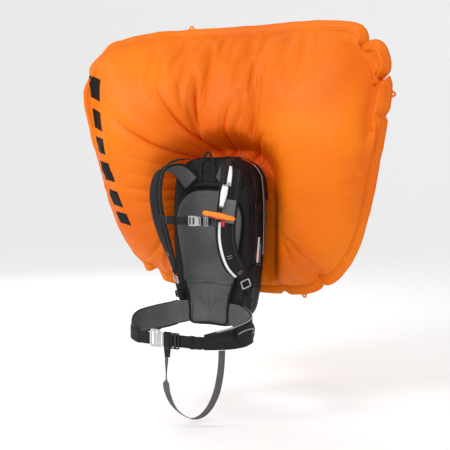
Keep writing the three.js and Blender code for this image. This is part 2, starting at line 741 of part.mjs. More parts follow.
// The cable's fixed stretch: from the strap's top, through the pack's rim and down to the firing head.
function makeTriggerCable() {
  const points = [
    [98, 18, 386],
    [80, 32, 396],
    [30, 38, 400],
    [-20, 40, 392],
    [-50, 48, 378],
    [-58, 62, 366],
    [-58, 65.6, 358],
  ];
  add("trigger_cable", rod(points, 2, 30, 3), "blackPlastic");
}

// ---------------------------------------------------------------- hip belt
function beltWebbing(points) {
  const route = new Route(points, points.map(() => [0, -1, 0]));
  return band(route, HIP_WEBBING_WIDTH, 2, 12);
}

function makeHipBelt() {
  const z = HIP_WEBBING_Z;
  add("hip_wing_right", makeWing(-1, WING_STATIONS), "blackFabric");
  add("hip_wing_left", makeWing(1, WING_STATIONS), "blackFabric");
  add("hip_webbing_right", beltWebbing([[-114, -244, z], [-92, -249, z], [-72, BELT_FRONT_Y, z]]), "blackWebbing");
  const left = [[114, -245, z], [90, -250, z], [40, -252, z], [-18, BELT_FRONT_Y - 1.5, z]];
  add("hip_webbing_left", beltWebbing(left), "blackWebbing");
  const facing = vec(0, -1, 0);
  const frame = slottedPlate(56, 36, 3, 6, [[-9.5, 8, 42], [5.5, 10, 42]]);
  add("hip_buckle_frame", placed(frame, vec(-51, BELT_FRONT_Y, z + 2), vec(1, 0, 0), facing), "silver");
  const hook = slottedPlate(44, 24, 2.4, 4, [[6.5, 4.5, 39]]);
  add("hip_buckle_hook", placed(hook, vec(-32, BELT_FRONT_Y - 5.4, z), vec(1, 0, 0), facing), "silver");
  const triGlide = slottedPlate(50, 30, 4, 4, [[-7.5, 6, 42], [7.5, 6, 42]]);
  add("hip_tri_glide", placed(triGlide, vec(24, BELT_FRONT_Y - 6.5, z), vec(1, 0, 0), facing), "blackPlastic");
  const wing = new THREE.CatmullRomCurve3(WING_STATIONS.map(([x, y]) => vec(x, y, 0)));
  const points = [];
  const normals = [];
  for (const t of [0.42, 0.5, 0.58, 0.66]) {
    const point = wing.getPoint(t);
    const tangent = wing.getTangent(t);
    const outward = vec(-tangent.y, tangent.x, 0);
    points.push([point.x + outward.x * 11, point.y + outward.y * 11, -54]);
    normals.push([outward.x, outward.y, 0]);
  }
  const pocketRoute = new Route(points, normals);
  add("hip_pocket", band(pocketRoute, (t) => 56 - 30 * (2 * t - 1) ** 4, 8, 10), "blackFabric");
  const spot = pocketRoute.at(0.3, 0, 8.5);
  const slider = slottedPlate(7, 10, 4, 2, [[-2.5, 2, 3]]);
  add("hip_pocket_slider", placed(slider, spot.point, spot.tangent, spot.normal), "steel");
}

// ---------------------------------------------------------------- leg strap
// The webbing's route is also that of the hanging loop in the finished model.
const LEG_POINTS = [
  [-12, -250, -198],
  [-13, -250, -214],
  [-10, -247, -240],
  [0, -242, -270],
  [18, -237, -295],
  [42, -232, -311],
  [68, -228, -318],
  [94, -224, -309],
  [116, -219, -288],
  [132, -214, -260],
  [143, -210, -230],
  [150, -207, -196],
  [155, -205, -160],
  [157, -204, -130],
  [158, -203.5, -101],
];
const LEG_NORMALS = [
  [0.1, -1, 0],
  [0.1, -1, 0],
  [-0.1, -1, -0.1],
  [-0.3, -0.9, -0.3],
  [-0.4, -0.7, -0.7],
  [-0.2, -0.5, -0.9],
  [0, -0.4, -0.95],
  [0.2, -0.5, -0.9],
  [0.5, -0.6, -0.6],
  [0.6, -0.6, -0.3],
  [0.65, -0.7, -0.1],
  [0.7, -0.7, 0],
  [0.75, -0.65, 0],
  [0.78, -0.62, 0],
  [0.78, -0.62, 0],
];

function makeLegStrap() {
  const route = new Route(LEG_POINTS, LEG_NORMALS);
  const link = rod([[-10, -251, -131], [-11, -250.5, -150], [-12, -250, -175], [-12, -250, -203]], 2.5, 12, 3);
  add("leg_strap", join(band(route, LEG_WEBBING_WIDTH, 2, 56), link), "greyWebbing");
  // A sewn sleeve wraps the belt webbing and carries the strap's short cord link.
  const x = -7;
  const sleeve = cut(
    box(x - 11, x + 11, BELT_FRONT_Y - 6.5, BELT_FRONT_Y + 3, HIP_WEBBING_Z - 54, HIP_WEBBING_Z + 24),
    box(x - 20, x + 20, BELT_FRONT_Y - 4, BELT_FRONT_Y + 0.8, HIP_WEBBING_Z - 20.5, HIP_WEBBING_Z + 20.5),
  );
  add("leg_strap_keeper", sleeve, "blackWebbing");
}

// ---------------------------------------------------------------- assembly
add("pack_shell", makePackShell(), "blackFabric");
add("back_sheet", makeBackSheet(), "blackFabric");
add("frame_rod", makeFrameRod(), "silver");
makePads();
add("burst_flap", makeBurstFlap(), "blackFabric");
add("haul_loop", makeHaulLoop(), "blackWebbing");
add("main_zip", makeMainZip(), "silverTape");
makeMainZipSlider();
add("airbag", makeAirbag(), "orangeNylon");
makeInflationSystem();
for (const [side, sign] of Object.entries(SIDES)) {
  makeSideStrap(side, sign);
  makeShoulderStrap(side, sign);
  makeLowerStrap(side);
}
makeChestStrap();
makeTrigger();
makeHandlePocket();
makeTriggerCable();
makeHipBelt();
makeLegStrap();

export default object;
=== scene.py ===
import json
import math

import bmesh
import bpy
import numpy as np
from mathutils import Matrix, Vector, noise
from mathutils.bvhtree import BVHTree


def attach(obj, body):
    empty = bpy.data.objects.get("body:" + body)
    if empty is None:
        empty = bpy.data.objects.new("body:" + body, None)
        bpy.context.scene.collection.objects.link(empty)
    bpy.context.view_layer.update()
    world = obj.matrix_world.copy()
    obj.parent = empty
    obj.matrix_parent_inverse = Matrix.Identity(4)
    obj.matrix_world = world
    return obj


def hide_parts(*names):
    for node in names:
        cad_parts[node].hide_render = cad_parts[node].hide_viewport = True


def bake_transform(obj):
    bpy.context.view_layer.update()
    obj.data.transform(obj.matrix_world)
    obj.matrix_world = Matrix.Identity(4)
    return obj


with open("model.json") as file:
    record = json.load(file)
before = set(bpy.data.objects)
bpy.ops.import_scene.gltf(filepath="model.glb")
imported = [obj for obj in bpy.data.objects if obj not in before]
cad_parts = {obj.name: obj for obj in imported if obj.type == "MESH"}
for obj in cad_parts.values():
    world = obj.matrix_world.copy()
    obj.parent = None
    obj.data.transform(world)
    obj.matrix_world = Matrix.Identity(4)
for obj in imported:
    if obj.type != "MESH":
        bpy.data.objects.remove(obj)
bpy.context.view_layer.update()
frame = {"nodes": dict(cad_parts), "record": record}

# Metres throughout; mm() takes lists in millimetres. +Z is up, -Y faces the wearer, +X is the wearer's left.
FRONT = (0, -1, 0)
SIDES = {"right": -1, "left": 1}


def place_camera():
    azimuth, elevation, distance = math.radians(28), math.radians(4.3), 3.0
    target = Vector((0.047, 0.025, 0.263))
    back = Vector((
        math.sin(azimuth) * math.cos(elevation),
        -math.cos(azimuth) * math.cos(elevation),
        math.sin(elevation),
    ))
    camera = bpy.data.objects.new("camera", bpy.data.cameras.new("camera"))
    camera.data.lens = 73
    camera.location = target + back * distance
    camera.rotation_mode = "QUATERNION"
    camera.rotation_quaternion = (-back).to_track_quat("-Z", "Y")
    bpy.context.scene.collection.objects.link(camera)
    bpy.context.scene.camera = camera


# ---------------------------------------------------------------- curves
def mm(rows):
    return [tuple(value / 1000 for value in row) for row in rows]


def unit(vector):
    vector = np.array(vector, float)
    return vector / np.linalg.norm(vector)


def smooth(t):
    """0 below 0, 1 above 1, and an even ramp between."""
    t = min(1.0, max(0.0, t))
    return t * t * (3 - 2 * t)


def bell(distance, width):
    return math.exp(-(distance / width) ** 2)


def cubic(x0, x1, slope0, slope1, weight):
    third = -3 * x0 + 3 * x1 - 2 * slope0 - slope1
    fourth = 2 * x0 - 2 * x1 + slope0 + slope1
    return x0 + slope0 * weight + third * weight**2 + fourth * weight**3


class Curve:
    """A Catmull-Rom curve through its points; spread=True spaces it by the points' distances."""

    def __init__(self, rows, spread=False):
        self.rows = np.array(rows, float)
        self.spread = spread

    def at(self, t):
        rows = self.rows
        last = len(rows) - 1
        place = min(max(t, 0.0), 1.0) * last
        first = min(int(place), last - 1)
        weight = place - first
        p1, p2 = rows[first], rows[first + 1]
        p0 = rows[first - 1] if first > 0 else 2 * p1 - p2
        p3 = rows[first + 2] if first + 2 <= last else 2 * p2 - p1
        if not self.spread:
            return cubic(p1, p2, (p2 - p0) / 2, (p3 - p1) / 2, weight)
        gaps = [math.sqrt(np.linalg.norm(b - a)) for a, b in ((p0, p1), (p1, p2), (p2, p3))]
        slope1 = (p1 - p0) / gaps[0] - (p2 - p0) / (gaps[0] + gaps[1]) + (p2 - p1) / gaps[1]
        slope2 = (p2 - p1) / gaps[1] - (p3 - p1) / (gaps[1] + gaps[2]) + (p3 - p2) / gaps[2]
        return cubic(p1, p2, slope1 * gaps[1], slope2 * gaps[1], weight)

    def samples(self, steps):
        return [self.at(i / steps) for i in range(steps + 1)]

    def tangent(self, t):
        step = 1e-4
        return unit(self.at(min(t + step, 1)) - self.at(max(t - step, 0)))


class Route:
    """A curve with facing directions, or one facing for all: across is sideways, up is along the facing."""

    def __init__(self, points, facings):
        if np.ndim(facings) == 1:
            facings = [facings] * len(points)
        self.line = Curve(points, spread=True)
        self.facing = Curve([unit(f) for f in facings])

    def frame(self, t):
        tangent = self.line.tangent(t)
        normal = self.facing.at(t)
        normal = unit(normal - tangent * np.dot(normal, tangent))
        return self.line.at(t), tangent, normal, np.cross(tangent, normal)

    def at(self, t, across=0.0, up=0.0):
        point, _, normal, side = self.frame(t)
        return point + side * across + normal * up


def add_piece(name, mesh, look, body="pack", slot=None, replaces=None):
    """Puts a mesh in the scene with one look or several, on a body. It may stand for a CAD node."""
    piece = bpy.data.objects.new(name, mesh)
    bpy.context.scene.collection.objects.link(piece)
    looks = [look] if isinstance(look, str) else look
    for entry in looks:
        mesh.materials.append(MATERIAL[entry])
    if body:
        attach(piece, body)
    if replaces:
        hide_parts(replaces)
    return piece


def make_piece(name, skin, look, body="pack", uv=None, **more):
    """A smooth piece from (vertices, faces). uv holds one pair of metres for each vertex."""
    vertices, faces = skin
    mesh = bpy.data.meshes.new(name)
    mesh.from_pydata([tuple(v) for v in vertices], [], faces)
    mesh.update()
    if uv is not None:
        layer = mesh.uv_layers.new(name="weave")
        for loop in mesh.loops:
            layer.data[loop.index].uv = uv[loop.vertex_index]
    mesh.polygons.foreach_set("use_smooth", [True] * len(mesh.polygons))
    return add_piece(name, mesh, look, body, **more)


def loft(rings, closed=True, caps="both"):
    """Vertices and faces of a skin over equal rings. caps is "both", "last" or "none"."""
    count = len(rings[0])
    vertices = [point for ring in rings for point in ring]
    faces = []
    for row in range(len(rings) - 1):
        for i in range(count if closed else count - 1):
            j = (i + 1) % count
            a, b = row * count, (row + 1) * count
            faces.append((a + i, a + j, b + j, b + i))
    if caps == "both":
        faces.append(tuple(range(count))[::-1])
    if caps != "none":
        faces.append(tuple((len(rings) - 1) * count + i for i in range(count)))
    return vertices, faces


def add_modifier(piece, kind, **settings):
    modifier = piece.modifiers.new(kind.lower(), kind)
    for setting, value in settings.items():
        setattr(modifier, setting, value)


def add_subdivision(piece, levels=1):
    add_modifier(piece, "SUBSURF", levels=levels, render_levels=levels)


def printed(name, rows, look, slot=None):
    """A thin print that lies on a surface, from a grid of points."""
    piece = make_piece(name, loft(rows, closed=False, caps="none"), look, slot=slot)
    add_modifier(piece, "SOLIDIFY", thickness=0.0004)


# The outline of a strap's section, as shares of half the width and half the thickness.
WEBBING_SECTION = [
    (-1, -0.5), (-0.97, -1), (-0.5, -1), (0, -1), (0.5, -1), (0.97, -1), (1, -0.5),
    (1, 0.5), (0.97, 1), (0.5, 1), (0, 1), (-0.5, 1), (-0.97, 1), (-1, 0.5),
]


def pillow_section(count=18, edge=0.35):
    """A padded strap's section: flat bound edges and crowned faces, as shares like the webbing's."""
    shares = [-1 + 2 * i / count for i in range(count + 1)]
    crown = [edge + (1 - edge) * (1 - abs(a) ** 4) ** 0.7 for a in shares]
    under = [(a, -high) for a, high in zip(shares, crown)]
    return under + [(a, -low) for a, low in reversed(under)]


def swept(name, route, width, thickness, steps, look="black_webbing", body="pack", *, section=WEBBING_SECTION,
          start=0.0, end=1.0, across=0.0, up=0.0, ripple=0.0, **more):
    """A band along a route. width is a number or a function of t."""
    rings, uv = [], []
    travelled = 0.0
    before = None
    for i in range(steps + 1):
        t = start + (end - start) * i / steps
        point, _, normal, side = route.frame(t)
        if before is not None:
            travelled += np.linalg.norm(point - before)
        before = point
        half = (width(t) if callable(width) else width) / 2
        wave = ripple * noise.noise(Vector((travelled * 60, half, 0)))
        ring = []
        for share_across, share_up in section:
            place = across + share_across * half
            ring.append(point + side * place + normal * (up + wave + share_up * thickness / 2))
            uv.append((travelled, share_across * half))
        rings.append(ring)
    return make_piece(name, loft(rings), look, body, uv=uv, **more)


def tube(name, points, radius, look="binding", body="pack", slot=None, closed=False):
    """A round cord through the points."""
    sides = 8
    points = [np.array(p, float) for p in points]
    last = len(points) - 1
    rings = []
    normal = None
    for i, point in enumerate(points):
        ahead = points[(i + 1) % len(points) if closed else min(i + 1, last)]
        behind = points[i - 1 if closed else max(i - 1, 0)]
        tangent = unit(ahead - behind)
        if normal is None:
            normal = np.array((0, 0, 1.0)) if abs(tangent[2]) < 0.8 else np.array((1.0, 0, 0))
        normal = unit(normal - tangent * np.dot(normal, tangent))
        side = np.cross(tangent, normal)
        turns = [2 * math.pi * k / sides for k in range(sides)]
        rings.append([point + (normal * math.cos(a) + side * math.sin(a)) * radius for a in turns])
    if closed:
        rings.append(rings[0])
    make_piece(name, loft(rings, caps="none" if closed else "both"), look, body, slot=slot)


def stitch(first, second, outward, radius):
    """One stitch between two points: rings of five vertices that taper at both ends."""
    along = unit(second - first)
    side = unit(np.cross(along, outward))
    up = np.cross(side, along)
    middle, half = (first + second) / 2, np.linalg.norm(second - first) / 2
    rings = []
    for share, size in ((-1, 0.35), (-0.55, 1), (0.55, 1), (1, 0.35)):
        turns = [2 * math.pi * a / 5 for a in range(5)]
        rings.append([middle + along * share * half + (side * math.cos(a) + up * math.sin(a)) * radius * size
                      for a in turns])
    return rings


def stitched(name, lines, length=0.0035, gap=0.0018, radius=0.0005, look="grey_thread", body="pack",
             slot=None, lift=0.0):
    """Separate stitches along lines of (point, outward) pairs."""
    vertices, faces = [], []
    for line in lines:
        points = [np.array(p, float) + unit(n) * lift for p, n in line]
        reach = np.cumsum([0] + [np.linalg.norm(b - a) for a, b in zip(points, points[1:])])
        for k in range(int(reach[-1] / (length + gap))):
            begin = k * (length + gap)
            ends = []
            for place in (begin, begin + length):
                i = min(max(int(np.searchsorted(reach, place)) - 1, 0), len(points) - 2)
                share = (place - reach[i]) / max(reach[i + 1] - reach[i], 1e-9)
                ends.append(points[i] + (points[i + 1] - points[i]) * share)
            more_vertices, more_faces = loft(stitch(*ends, unit(line[i][1]), radius))
            faces += [tuple(len(vertices) + corner for corner in face) for face in more_faces]
            vertices += more_vertices
    make_piece(name, (vertices, faces), look, body, slot=slot)


# ---------------------------------------------------------------- the airbag's measures
BAG_CENTRE_X, BAG_HALF_TOP, BAG_HALF_BOTTOM = 0.018, 0.648, 0.436
BAG_BOTTOM, BAG_TOP, BAG_FLANGE = 0.018, 0.932, 0.028
BAG_TALL = BAG_TOP - BAG_BOTTOM
BAG_MIDDLE = (BAG_TOP + BAG_BOTTOM) / 2
# Folds that run out from the pack: start, end (x, z), depth and half-width.
BAG_FOLDS = [
    ((-0.105, 0.470), (-0.415, 0.640), 0.013, 0.010),
    ((-0.045, 0.490), (-0.250, 0.745), 0.014, 0.010),
    ((0.002, 0.497), (0.045, 0.685), 0.013, 0.009),
    ((0.090, 0.485), (0.180, 0.565), 0.013, 0.009),
    ((-0.150, 0.375), (-0.400, 0.395), 0.008, 0.008),
    ((-0.155, 0.345), (-0.380, 0.345), 0.007, 0.007),
    ((-0.150, 0.300), (-0.330, 0.262), 0.007, 0.008),
    ((-0.120, 0.445), (-0.400, 0.520), 0.006, 0.006),
    ((-0.140, 0.410), (-0.390, 0.455), 0.005, 0.006),
    ((0.030, 0.500), (0.110, 0.680), 0.006, 0.007),
]
DEEPEST_FOLD = max(fold[2] for fold in BAG_FOLDS)
FOLD_BEND = 0.012


# ---------------------------------------------------------------- materials
class Shader:
    """One material's node tree, built with short calls. Constants go straight on the surface's sockets."""

    def __init__(self, name, roughness=0.5, metallic=0.0, gloss=0.5):
        self.material = bpy.data.materials.new(name)
        self.material.use_nodes = True
        self.tree = self.material.node_tree
        self.surface = self.tree.nodes["Principled BSDF"]
        self.surface.inputs["Roughness"].default_value = roughness
        self.surface.inputs["Metallic"].default_value = metallic
        self.surface.inputs["Specular IOR Level"].default_value = gloss
        self.normal = None
        coordinates = self.tree.nodes.new("ShaderNodeTexCoord")
        self.place = coordinates.outputs["Object"]
        self.uv = coordinates.outputs["UV"]

    def feed(self, socket, value):
        if isinstance(value, bpy.types.NodeSocket):
            self.tree.links.new(value, socket)
        elif isinstance(value, tuple):
            socket.default_value = (*value, 1)
        else:
            socket.default_value = value

    def node(self, kind, *values):
        """A node whose first sockets take the values."""
        node = self.tree.nodes.new("ShaderNode" + kind)
        for socket, value in zip(node.inputs, values):
            self.feed(socket, value)
        return node

    def math(self, operation, first, *others):
        """The operation on two values, or on more in turn, or on one alone."""
        for other in others or (0.0,):
            node = self.node("Math", first, other)
            node.operation = operation
            first = node.outputs[0]
        return first

    def times(self, *values):
        return self.math("MULTIPLY", *values)

    def plus(self, *values):
        return self.math("ADD", *values)

    def parts(self, vector):
        return self.node("SeparateXYZ", vector).outputs

    def vector(self, x, y, z):
        return self.node("CombineXYZ", x, y, z).outputs[0]

    def remap(self, value, low, high, to_low=0.0, to_high=1.0):
        return self.node("MapRange", value, low, high, to_low, to_high).outputs[0]

    def attribute(self, name):
        node = self.node("Attribute")
        node.attribute_name = name
        return node.outputs["Fac"]

    def noise(self, scale, detail=3.0, roughness=0.55, vector=None, stretch=None):
        source = vector or self.place
        if stretch:
            mapping = self.node("Mapping", source)
            mapping.inputs["Scale"].default_value = stretch
            source = mapping.outputs[0]
        node = self.node("TexNoise", source)
        for socket, value in (("Scale", scale), ("Detail", detail), ("Roughness", roughness)):
            node.inputs[socket].default_value = value
        return node.outputs["Fac"]

    def mix(self, factor, first, second):
        node = self.node("Mix", factor)
        node.data_type = "RGBA"
        self.feed(node.inputs[6], first)
        self.feed(node.inputs[7], second)
        return node.outputs[2]

    def colour(self, value):
        self.feed(self.surface.inputs["Base Color"], value)

    def roughness(self, value):
        self.feed(self.surface.inputs["Roughness"], value)

    def bump(self, height, distance, strength=1.0):
        node = self.node("Bump")
        for socket, value in (("Strength", strength), ("Distance", distance), ("Height", height)):
            self.feed(node.inputs[socket], value)
        if self.normal:
            self.feed(node.inputs["Normal"], self.normal)
        self.normal = node.outputs["Normal"]
        self.feed(self.surface.inputs["Normal"], self.normal)

    def waves(self, value, pitch):
        """A wave from 0 to 1 with one crest each pitch."""
        return self.remap(self.math("SINE", self.times(value, 2 * math.pi / pitch)), -1.0, 1.0)

    def grid(self, first, second, pitch, sharpness):
        """The raised threads of ripstop cloth, one each pitch both ways."""
        lines = [self.math("POWER", self.waves(value, pitch), sharpness) for value in (first, second)]
        return self.math("MAXIMUM", *lines)

    def woven(self, pitch):
        """Crossed threads on every side of an object, in object space."""
        x, y, z = self.parts(self.place)
        facing_x, facing_y, _ = self.parts(self.node("NewGeometry").outputs["Normal"])
        share_x, share_y = self.math("ABSOLUTE", facing_y), self.math("ABSOLUTE", facing_x)
        across = self.plus(self.times(x, share_x), self.times(y, share_y))
        return self.times(self.waves(across, pitch), self.waves(z, pitch))


def black_fabric(name, colour, lighter):
    s = Shader(name, 0.62, gloss=0.14)
    _, y, z = s.parts(s.place)
    broad = s.noise(14)
    s.colour(s.mix(s.remap(s.times(broad, s.noise(900, 2)), 0.1, 0.5), colour, lighter))
    s.roughness(s.remap(broad, 0.3, 0.7, 0.5, 0.72))
    s.bump(s.noise(26, 4), 0.0035, 0.35)
    s.bump(s.grid(z, y, 0.005, 14.0), 0.00025, 0.5)
    s.bump(s.woven(0.0011), 0.0002, 0.5)
    return s.material


def webbing(name, colour, lighter, pitch=0.0026):
    s = Shader(name, 0.7, gloss=0.16)
    along, across, _ = s.parts(s.uv)
    twill = s.waves(s.plus(along, s.math("ABSOLUTE", across)), pitch)
    threads = s.times(twill, s.remap(s.waves(across, 0.0024), 0, 1, 0.5, 1))
    wear = s.noise(45)
    s.colour(s.mix(s.times(s.remap(threads, 0, 1, 0.25, 1), wear), colour, lighter))
    s.roughness(s.remap(wear, 0.3, 0.7, 0.6, 0.8))
    s.bump(threads, 0.0005, 0.7)
    s.bump(s.noise(1400, 2), 0.0001, 0.4)
    return s.material


def foam_knit(name, colour, lighter):
    """Moulded foam under a brushed knit face."""
    s = Shader(name, 0.85, gloss=0.25)
    speckle = s.plus(s.times(s.noise(9), 0.6), s.times(s.noise(1100, 2, 0.7), 0.5))
    s.colour(s.mix(s.remap(speckle, 0.35, 0.8), colour, lighter))
    s.bump(s.woven(0.0016), 0.0003, 0.6)
    s.bump(s.noise(60), 0.001, 0.3)
    return s.material


def plain_fabric(name, colour, lighter, roughness=0.6, gloss=0.3):
    s = Shader(name, roughness, gloss=gloss)
    s.colour(s.mix(s.noise(70, 4, 0.6), colour, lighter))
    s.bump(s.woven(0.0012), 0.0002, 0.5)
    s.bump(s.noise(50), 0.001, 0.25)
    return s.material


def moulded_plastic(name, colour, lighter, roughness=0.42):
    s = Shader(name, roughness, gloss=0.35)
    s.colour(s.mix(s.noise(60), colour, lighter))
    s.roughness(s.remap(s.noise(240), 0.3, 0.7, roughness - 0.08, roughness + 0.12))
    s.bump(s.noise(2600, 2), 0.00008, 0.5)
    return s.material


def satin_metal(name, colour, darker, roughness=0.3):
    s = Shader(name, roughness, metallic=1.0)
    brushed = s.noise(700, 3, 0.6, stretch=(1, 1, 12))
    s.colour(s.mix(s.remap(s.noise(90), 0.35, 0.75), colour, darker))
    s.roughness(s.remap(brushed, 0.3, 0.7, roughness - 0.08, roughness + 0.12))
    s.bump(brushed, 0.00005, 0.4)
    return s.material


def pale_stage():
    s = Shader("pale_stage", 0.9)
    s.colour(s.mix(s.noise(3, 2), (0.93, 0.93, 0.93), (0.95, 0.95, 0.95)))
    return s.material


def fold_line(s, x, z, start, end, wide):
    """1 along a fold's line, fading to 0 at its sides and its far end."""
    dx, dz = end[0] - start[0], end[1] - start[1]
    length = math.hypot(dx, dz)
    from_x = s.math("SUBTRACT", x, start[0])
    from_z = s.math("SUBTRACT", z, start[1])
    along = s.plus(s.times(from_x, dx / length**2), s.times(from_z, dz / length**2))
    aside = s.math("SUBTRACT", s.times(from_x, dz / length), s.times(from_z, dx / length))
    bend = s.times(s.math("SINE", s.times(along, math.pi)), FOLD_BEND)
    off = s.math("ABSOLUTE", s.plus(aside, bend))
    ends = s.times(s.remap(along, -0.1, 0.03), s.remap(along, 0.45, 1.0, 1.0, 0.0))
    return s.times(s.remap(off, 0, wide, 1, 0), ends)


def radial_wrinkles(s, x, z):
    """Fine wrinkles that run out from the pack and fade with distance."""
    from_z = s.math("SUBTRACT", z, 0.36)
    turn = s.math("ARCTAN2", from_z, x)
    reach = s.math("SQRT", s.plus(s.times(x, x), s.times(from_z, from_z)))
    ridges = s.noise(1.6, 3, 0.5, vector=s.vector(s.times(turn, 11.0), s.times(reach, 3.0), 0.0))
    return s.times(ridges, s.remap(reach, 0.16, 0.42, 1.0, 0.0))


def edge_puckers(s, x, z):
    """Short wrinkles across the side seams."""
    off_centre = s.math("ABSOLUTE", s.math("SUBTRACT", x, BAG_CENTRE_X))
    widening = s.times(s.math("SUBTRACT", z, BAG_BOTTOM), (BAG_HALF_TOP - BAG_HALF_BOTTOM) / BAG_TALL)
    inside = s.math("SUBTRACT", s.plus(widening, BAG_HALF_BOTTOM), off_centre)
    place = s.vector(s.times(x, 5.0), 0.0, s.times(z, 36.0))
    return s.times(s.noise(1.3, 2, 0.5, vector=place), s.remap(inside, 0.03, 0.16, 1.0, 0.0))


def orange_nylon():
    """Thin coated cloth, lit evenly, with painted shade in deep red near the pack and along the folds of the
    front panel, and broad paler patches that are partly painted highlight.
    """
    s = Shader("orange_nylon", 0.45, gloss=0.16)
    x, y, z = s.parts(s.place)
    front = s.remap(y, 0.18, 0.22, 1.0, 0.0)
    folds = 0.0
    for start, end, depth, wide in BAG_FOLDS:
        line = s.times(fold_line(s, x, z, start, end, 0.6 * wide), (depth / DEEPEST_FOLD) ** 2)
        folds = s.math("MAXIMUM", folds, line)
    folds = s.times(folds, front)
    # Broad random tone between two oranges; its paler yellow-orange patches are also painted highlight.
    cloth = s.mix(s.remap(s.noise(2.2, 2), 0.3, 0.7), (0.69, 0.115, 0.0005), (0.84, 0.205, 0.003))
    # Painted shade: deep red mixed in close to the pack, by each vertex's stored share.
    near_pack = s.mix(s.attribute("pack_painted_shade"), cloth, (0.76, 0.055, 0.0005))
    # Painted shade: darker red along the folds of the front panel.
    s.colour(s.mix(s.times(folds, 0.9), near_pack, (0.74, 0.028, 0.0003)))
    s.roughness(s.remap(s.noise(120, 3, 0.6, stretch=(1, 1, 0.35)), 0.3, 0.7, 0.38, 0.52))
    s.bump(s.times(folds, -1.0), 0.006, 0.8)
    s.bump(s.times(radial_wrinkles(s, x, z), front), 0.014, 0.6)
    s.bump(edge_puckers(s, x, z), 0.012, 0.6)
    s.bump(s.noise(34, 3, 0.5), 0.002, 0.22)
    s.bump(s.grid(x, z, 0.006, 16.0), 0.0002, 0.35)
    s.bump(s.woven(0.0012), 0.00012, 0.4)
    return s.material


MATERIAL = {
    "black_fabric": black_fabric("black_ripstop", (0.007, 0.007, 0.008), (0.022, 0.022, 0.024)),
    "binding": webbing("binding_tape", (0.006, 0.006, 0.007), (0.022, 0.022, 0.023), 0.0018),
    "grey_foam": foam_knit("grey_knit_foam", (0.056, 0.057, 0.060), (0.130, 0.131, 0.135)),
    "black_webbing": webbing("black_webbing", (0.008, 0.008, 0.009), (0.034, 0.034, 0.036)),
    "grey_webbing": webbing("grey_webbing", (0.075, 0.076, 0.08), (0.17, 0.172, 0.178)),
    "white_fabric": plain_fabric("white_coated_fabric", (0.72, 0.72, 0.74), (0.84, 0.84, 0.85), 0.45),
    "red_fabric": plain_fabric("red_tag_fabric", (0.5, 0.012, 0.015), (0.62, 0.03, 0.03)),
    "orange_nylon": orange_nylon(),
    "silver_tape": plain_fabric("silver_zip_tape", (0.32, 0.33, 0.35), (0.5, 0.51, 0.53), 0.35),
    "black_plastic": moulded_plastic("black_acetal", (0.008, 0.008, 0.009), (0.016, 0.016, 0.017)),
    "orange_plastic": moulded_plastic("orange_grip", (0.84, 0.19, 0.003), (0.90, 0.25, 0.005), 0.4),
    # Darker red plastic for the grip's lower face: painted shade under the grip.
    "painted_shade_plastic": moulded_plastic("grip_painted_shade", (0.45, 0.01, 0.008), (0.55, 0.02, 0.01), 0.4),
    "silver_metal": satin_metal("satin_aluminium", (0.56, 0.57, 0.58), (0.38, 0.39, 0.41)),
    "steel": satin_metal("brushed_steel", (0.40, 0.41, 0.42), (0.27, 0.28, 0.29), 0.34),
    "pale_thread": plain_fabric("pale_thread", (0.56, 0.14, 0.012), (0.64, 0.19, 0.025)),
    "grey_thread": plain_fabric("grey_thread", (0.10, 0.10, 0.105), (0.16, 0.16, 0.165)),
    "light_piping": plain_fabric("light_piping", (0.30, 0.31, 0.32), (0.42, 0.43, 0.44)),
    "patch_grey": plain_fabric("patch_grey", (0.09, 0.09, 0.095), (0.15, 0.15, 0.155)),
    "black_print": plain_fabric("black_print", (0.004, 0.004, 0.004), (0.009, 0.009, 0.009), 0.5, 0.12),
    "stage": pale_stage(),
}


def dress_cad_nodes():
    """Each carried-over CAD node takes its slot's material, and hard pieces get softened edges."""
    soft_edges = {"black_plastic": 0.0006, "orange_plastic": 0.001, "silver_metal": 0.0005, "steel": 0.0004}
    slots = {part["node"]: part["material_slot"] for part in frame["record"]["subparts"]}
    for name, node in frame["nodes"].items():
        slot = slots[name]
        node.data.materials.clear()
        node.data.materials.append(MATERIAL[slot])
        if slot in soft_edges:
            add_modifier(node, "BEVEL", width=soft_edges[slot], segments=2, limit_method="ANGLE",
                         angle_limit=math.radians(40))


# ---------------------------------------------------------------- leg strap
LEG_LINK = mm([(-10, -251, -129.9), (-11, -250.5, -150), (-12, -250, -175), (-12, -250, -203)])
LEG_POINTS = mm([
    (-12, -250, -198), (-13, -250, -214), (-10, -247, -240), (0, -242, -270), (18, -237, -295),
    (42, -232, -311), (68, -228, -318), (94, -224, -309), (116, -219, -288), (132, -214, -260),
    (143, -210, -230), (150, -207, -196), (155, -205, -160), (157, -204, -130), (158, -203.5, -101),
])
LEG_FACINGS = [
    (0.1, -1, 0), (0.1, -1, 0), (-0.1, -1, -0.1), (-0.3, -0.9, -0.3), (-0.4, -0.7, -0.7),
    (-0.2, -0.5, -0.9), (0, -0.4, -0.95), (0.2, -0.5, -0.9), (0.5, -0.6, -0.6), (0.6, -0.6, -0.3),
    (0.65, -0.7, -0.1), (0.7, -0.7, 0), (0.75, -0.65, 0), (0.78, -0.62, 0), (0.78, -0.62, 0),
]
LEG_WIDTH = 0.022


def link_width(t):
    """The link is a folded end of webbing that narrows to where it is knotted to the loop."""
    return 0.0115 - 0.0075 * min(1, max(0, (t - 0.25) / 0.5)) ** 0.8


def leg_width(t):
    """The loop's upper end is gathered."""
    return LEG_WIDTH * (0.22 + 0.78 * smooth(t / 0.075))


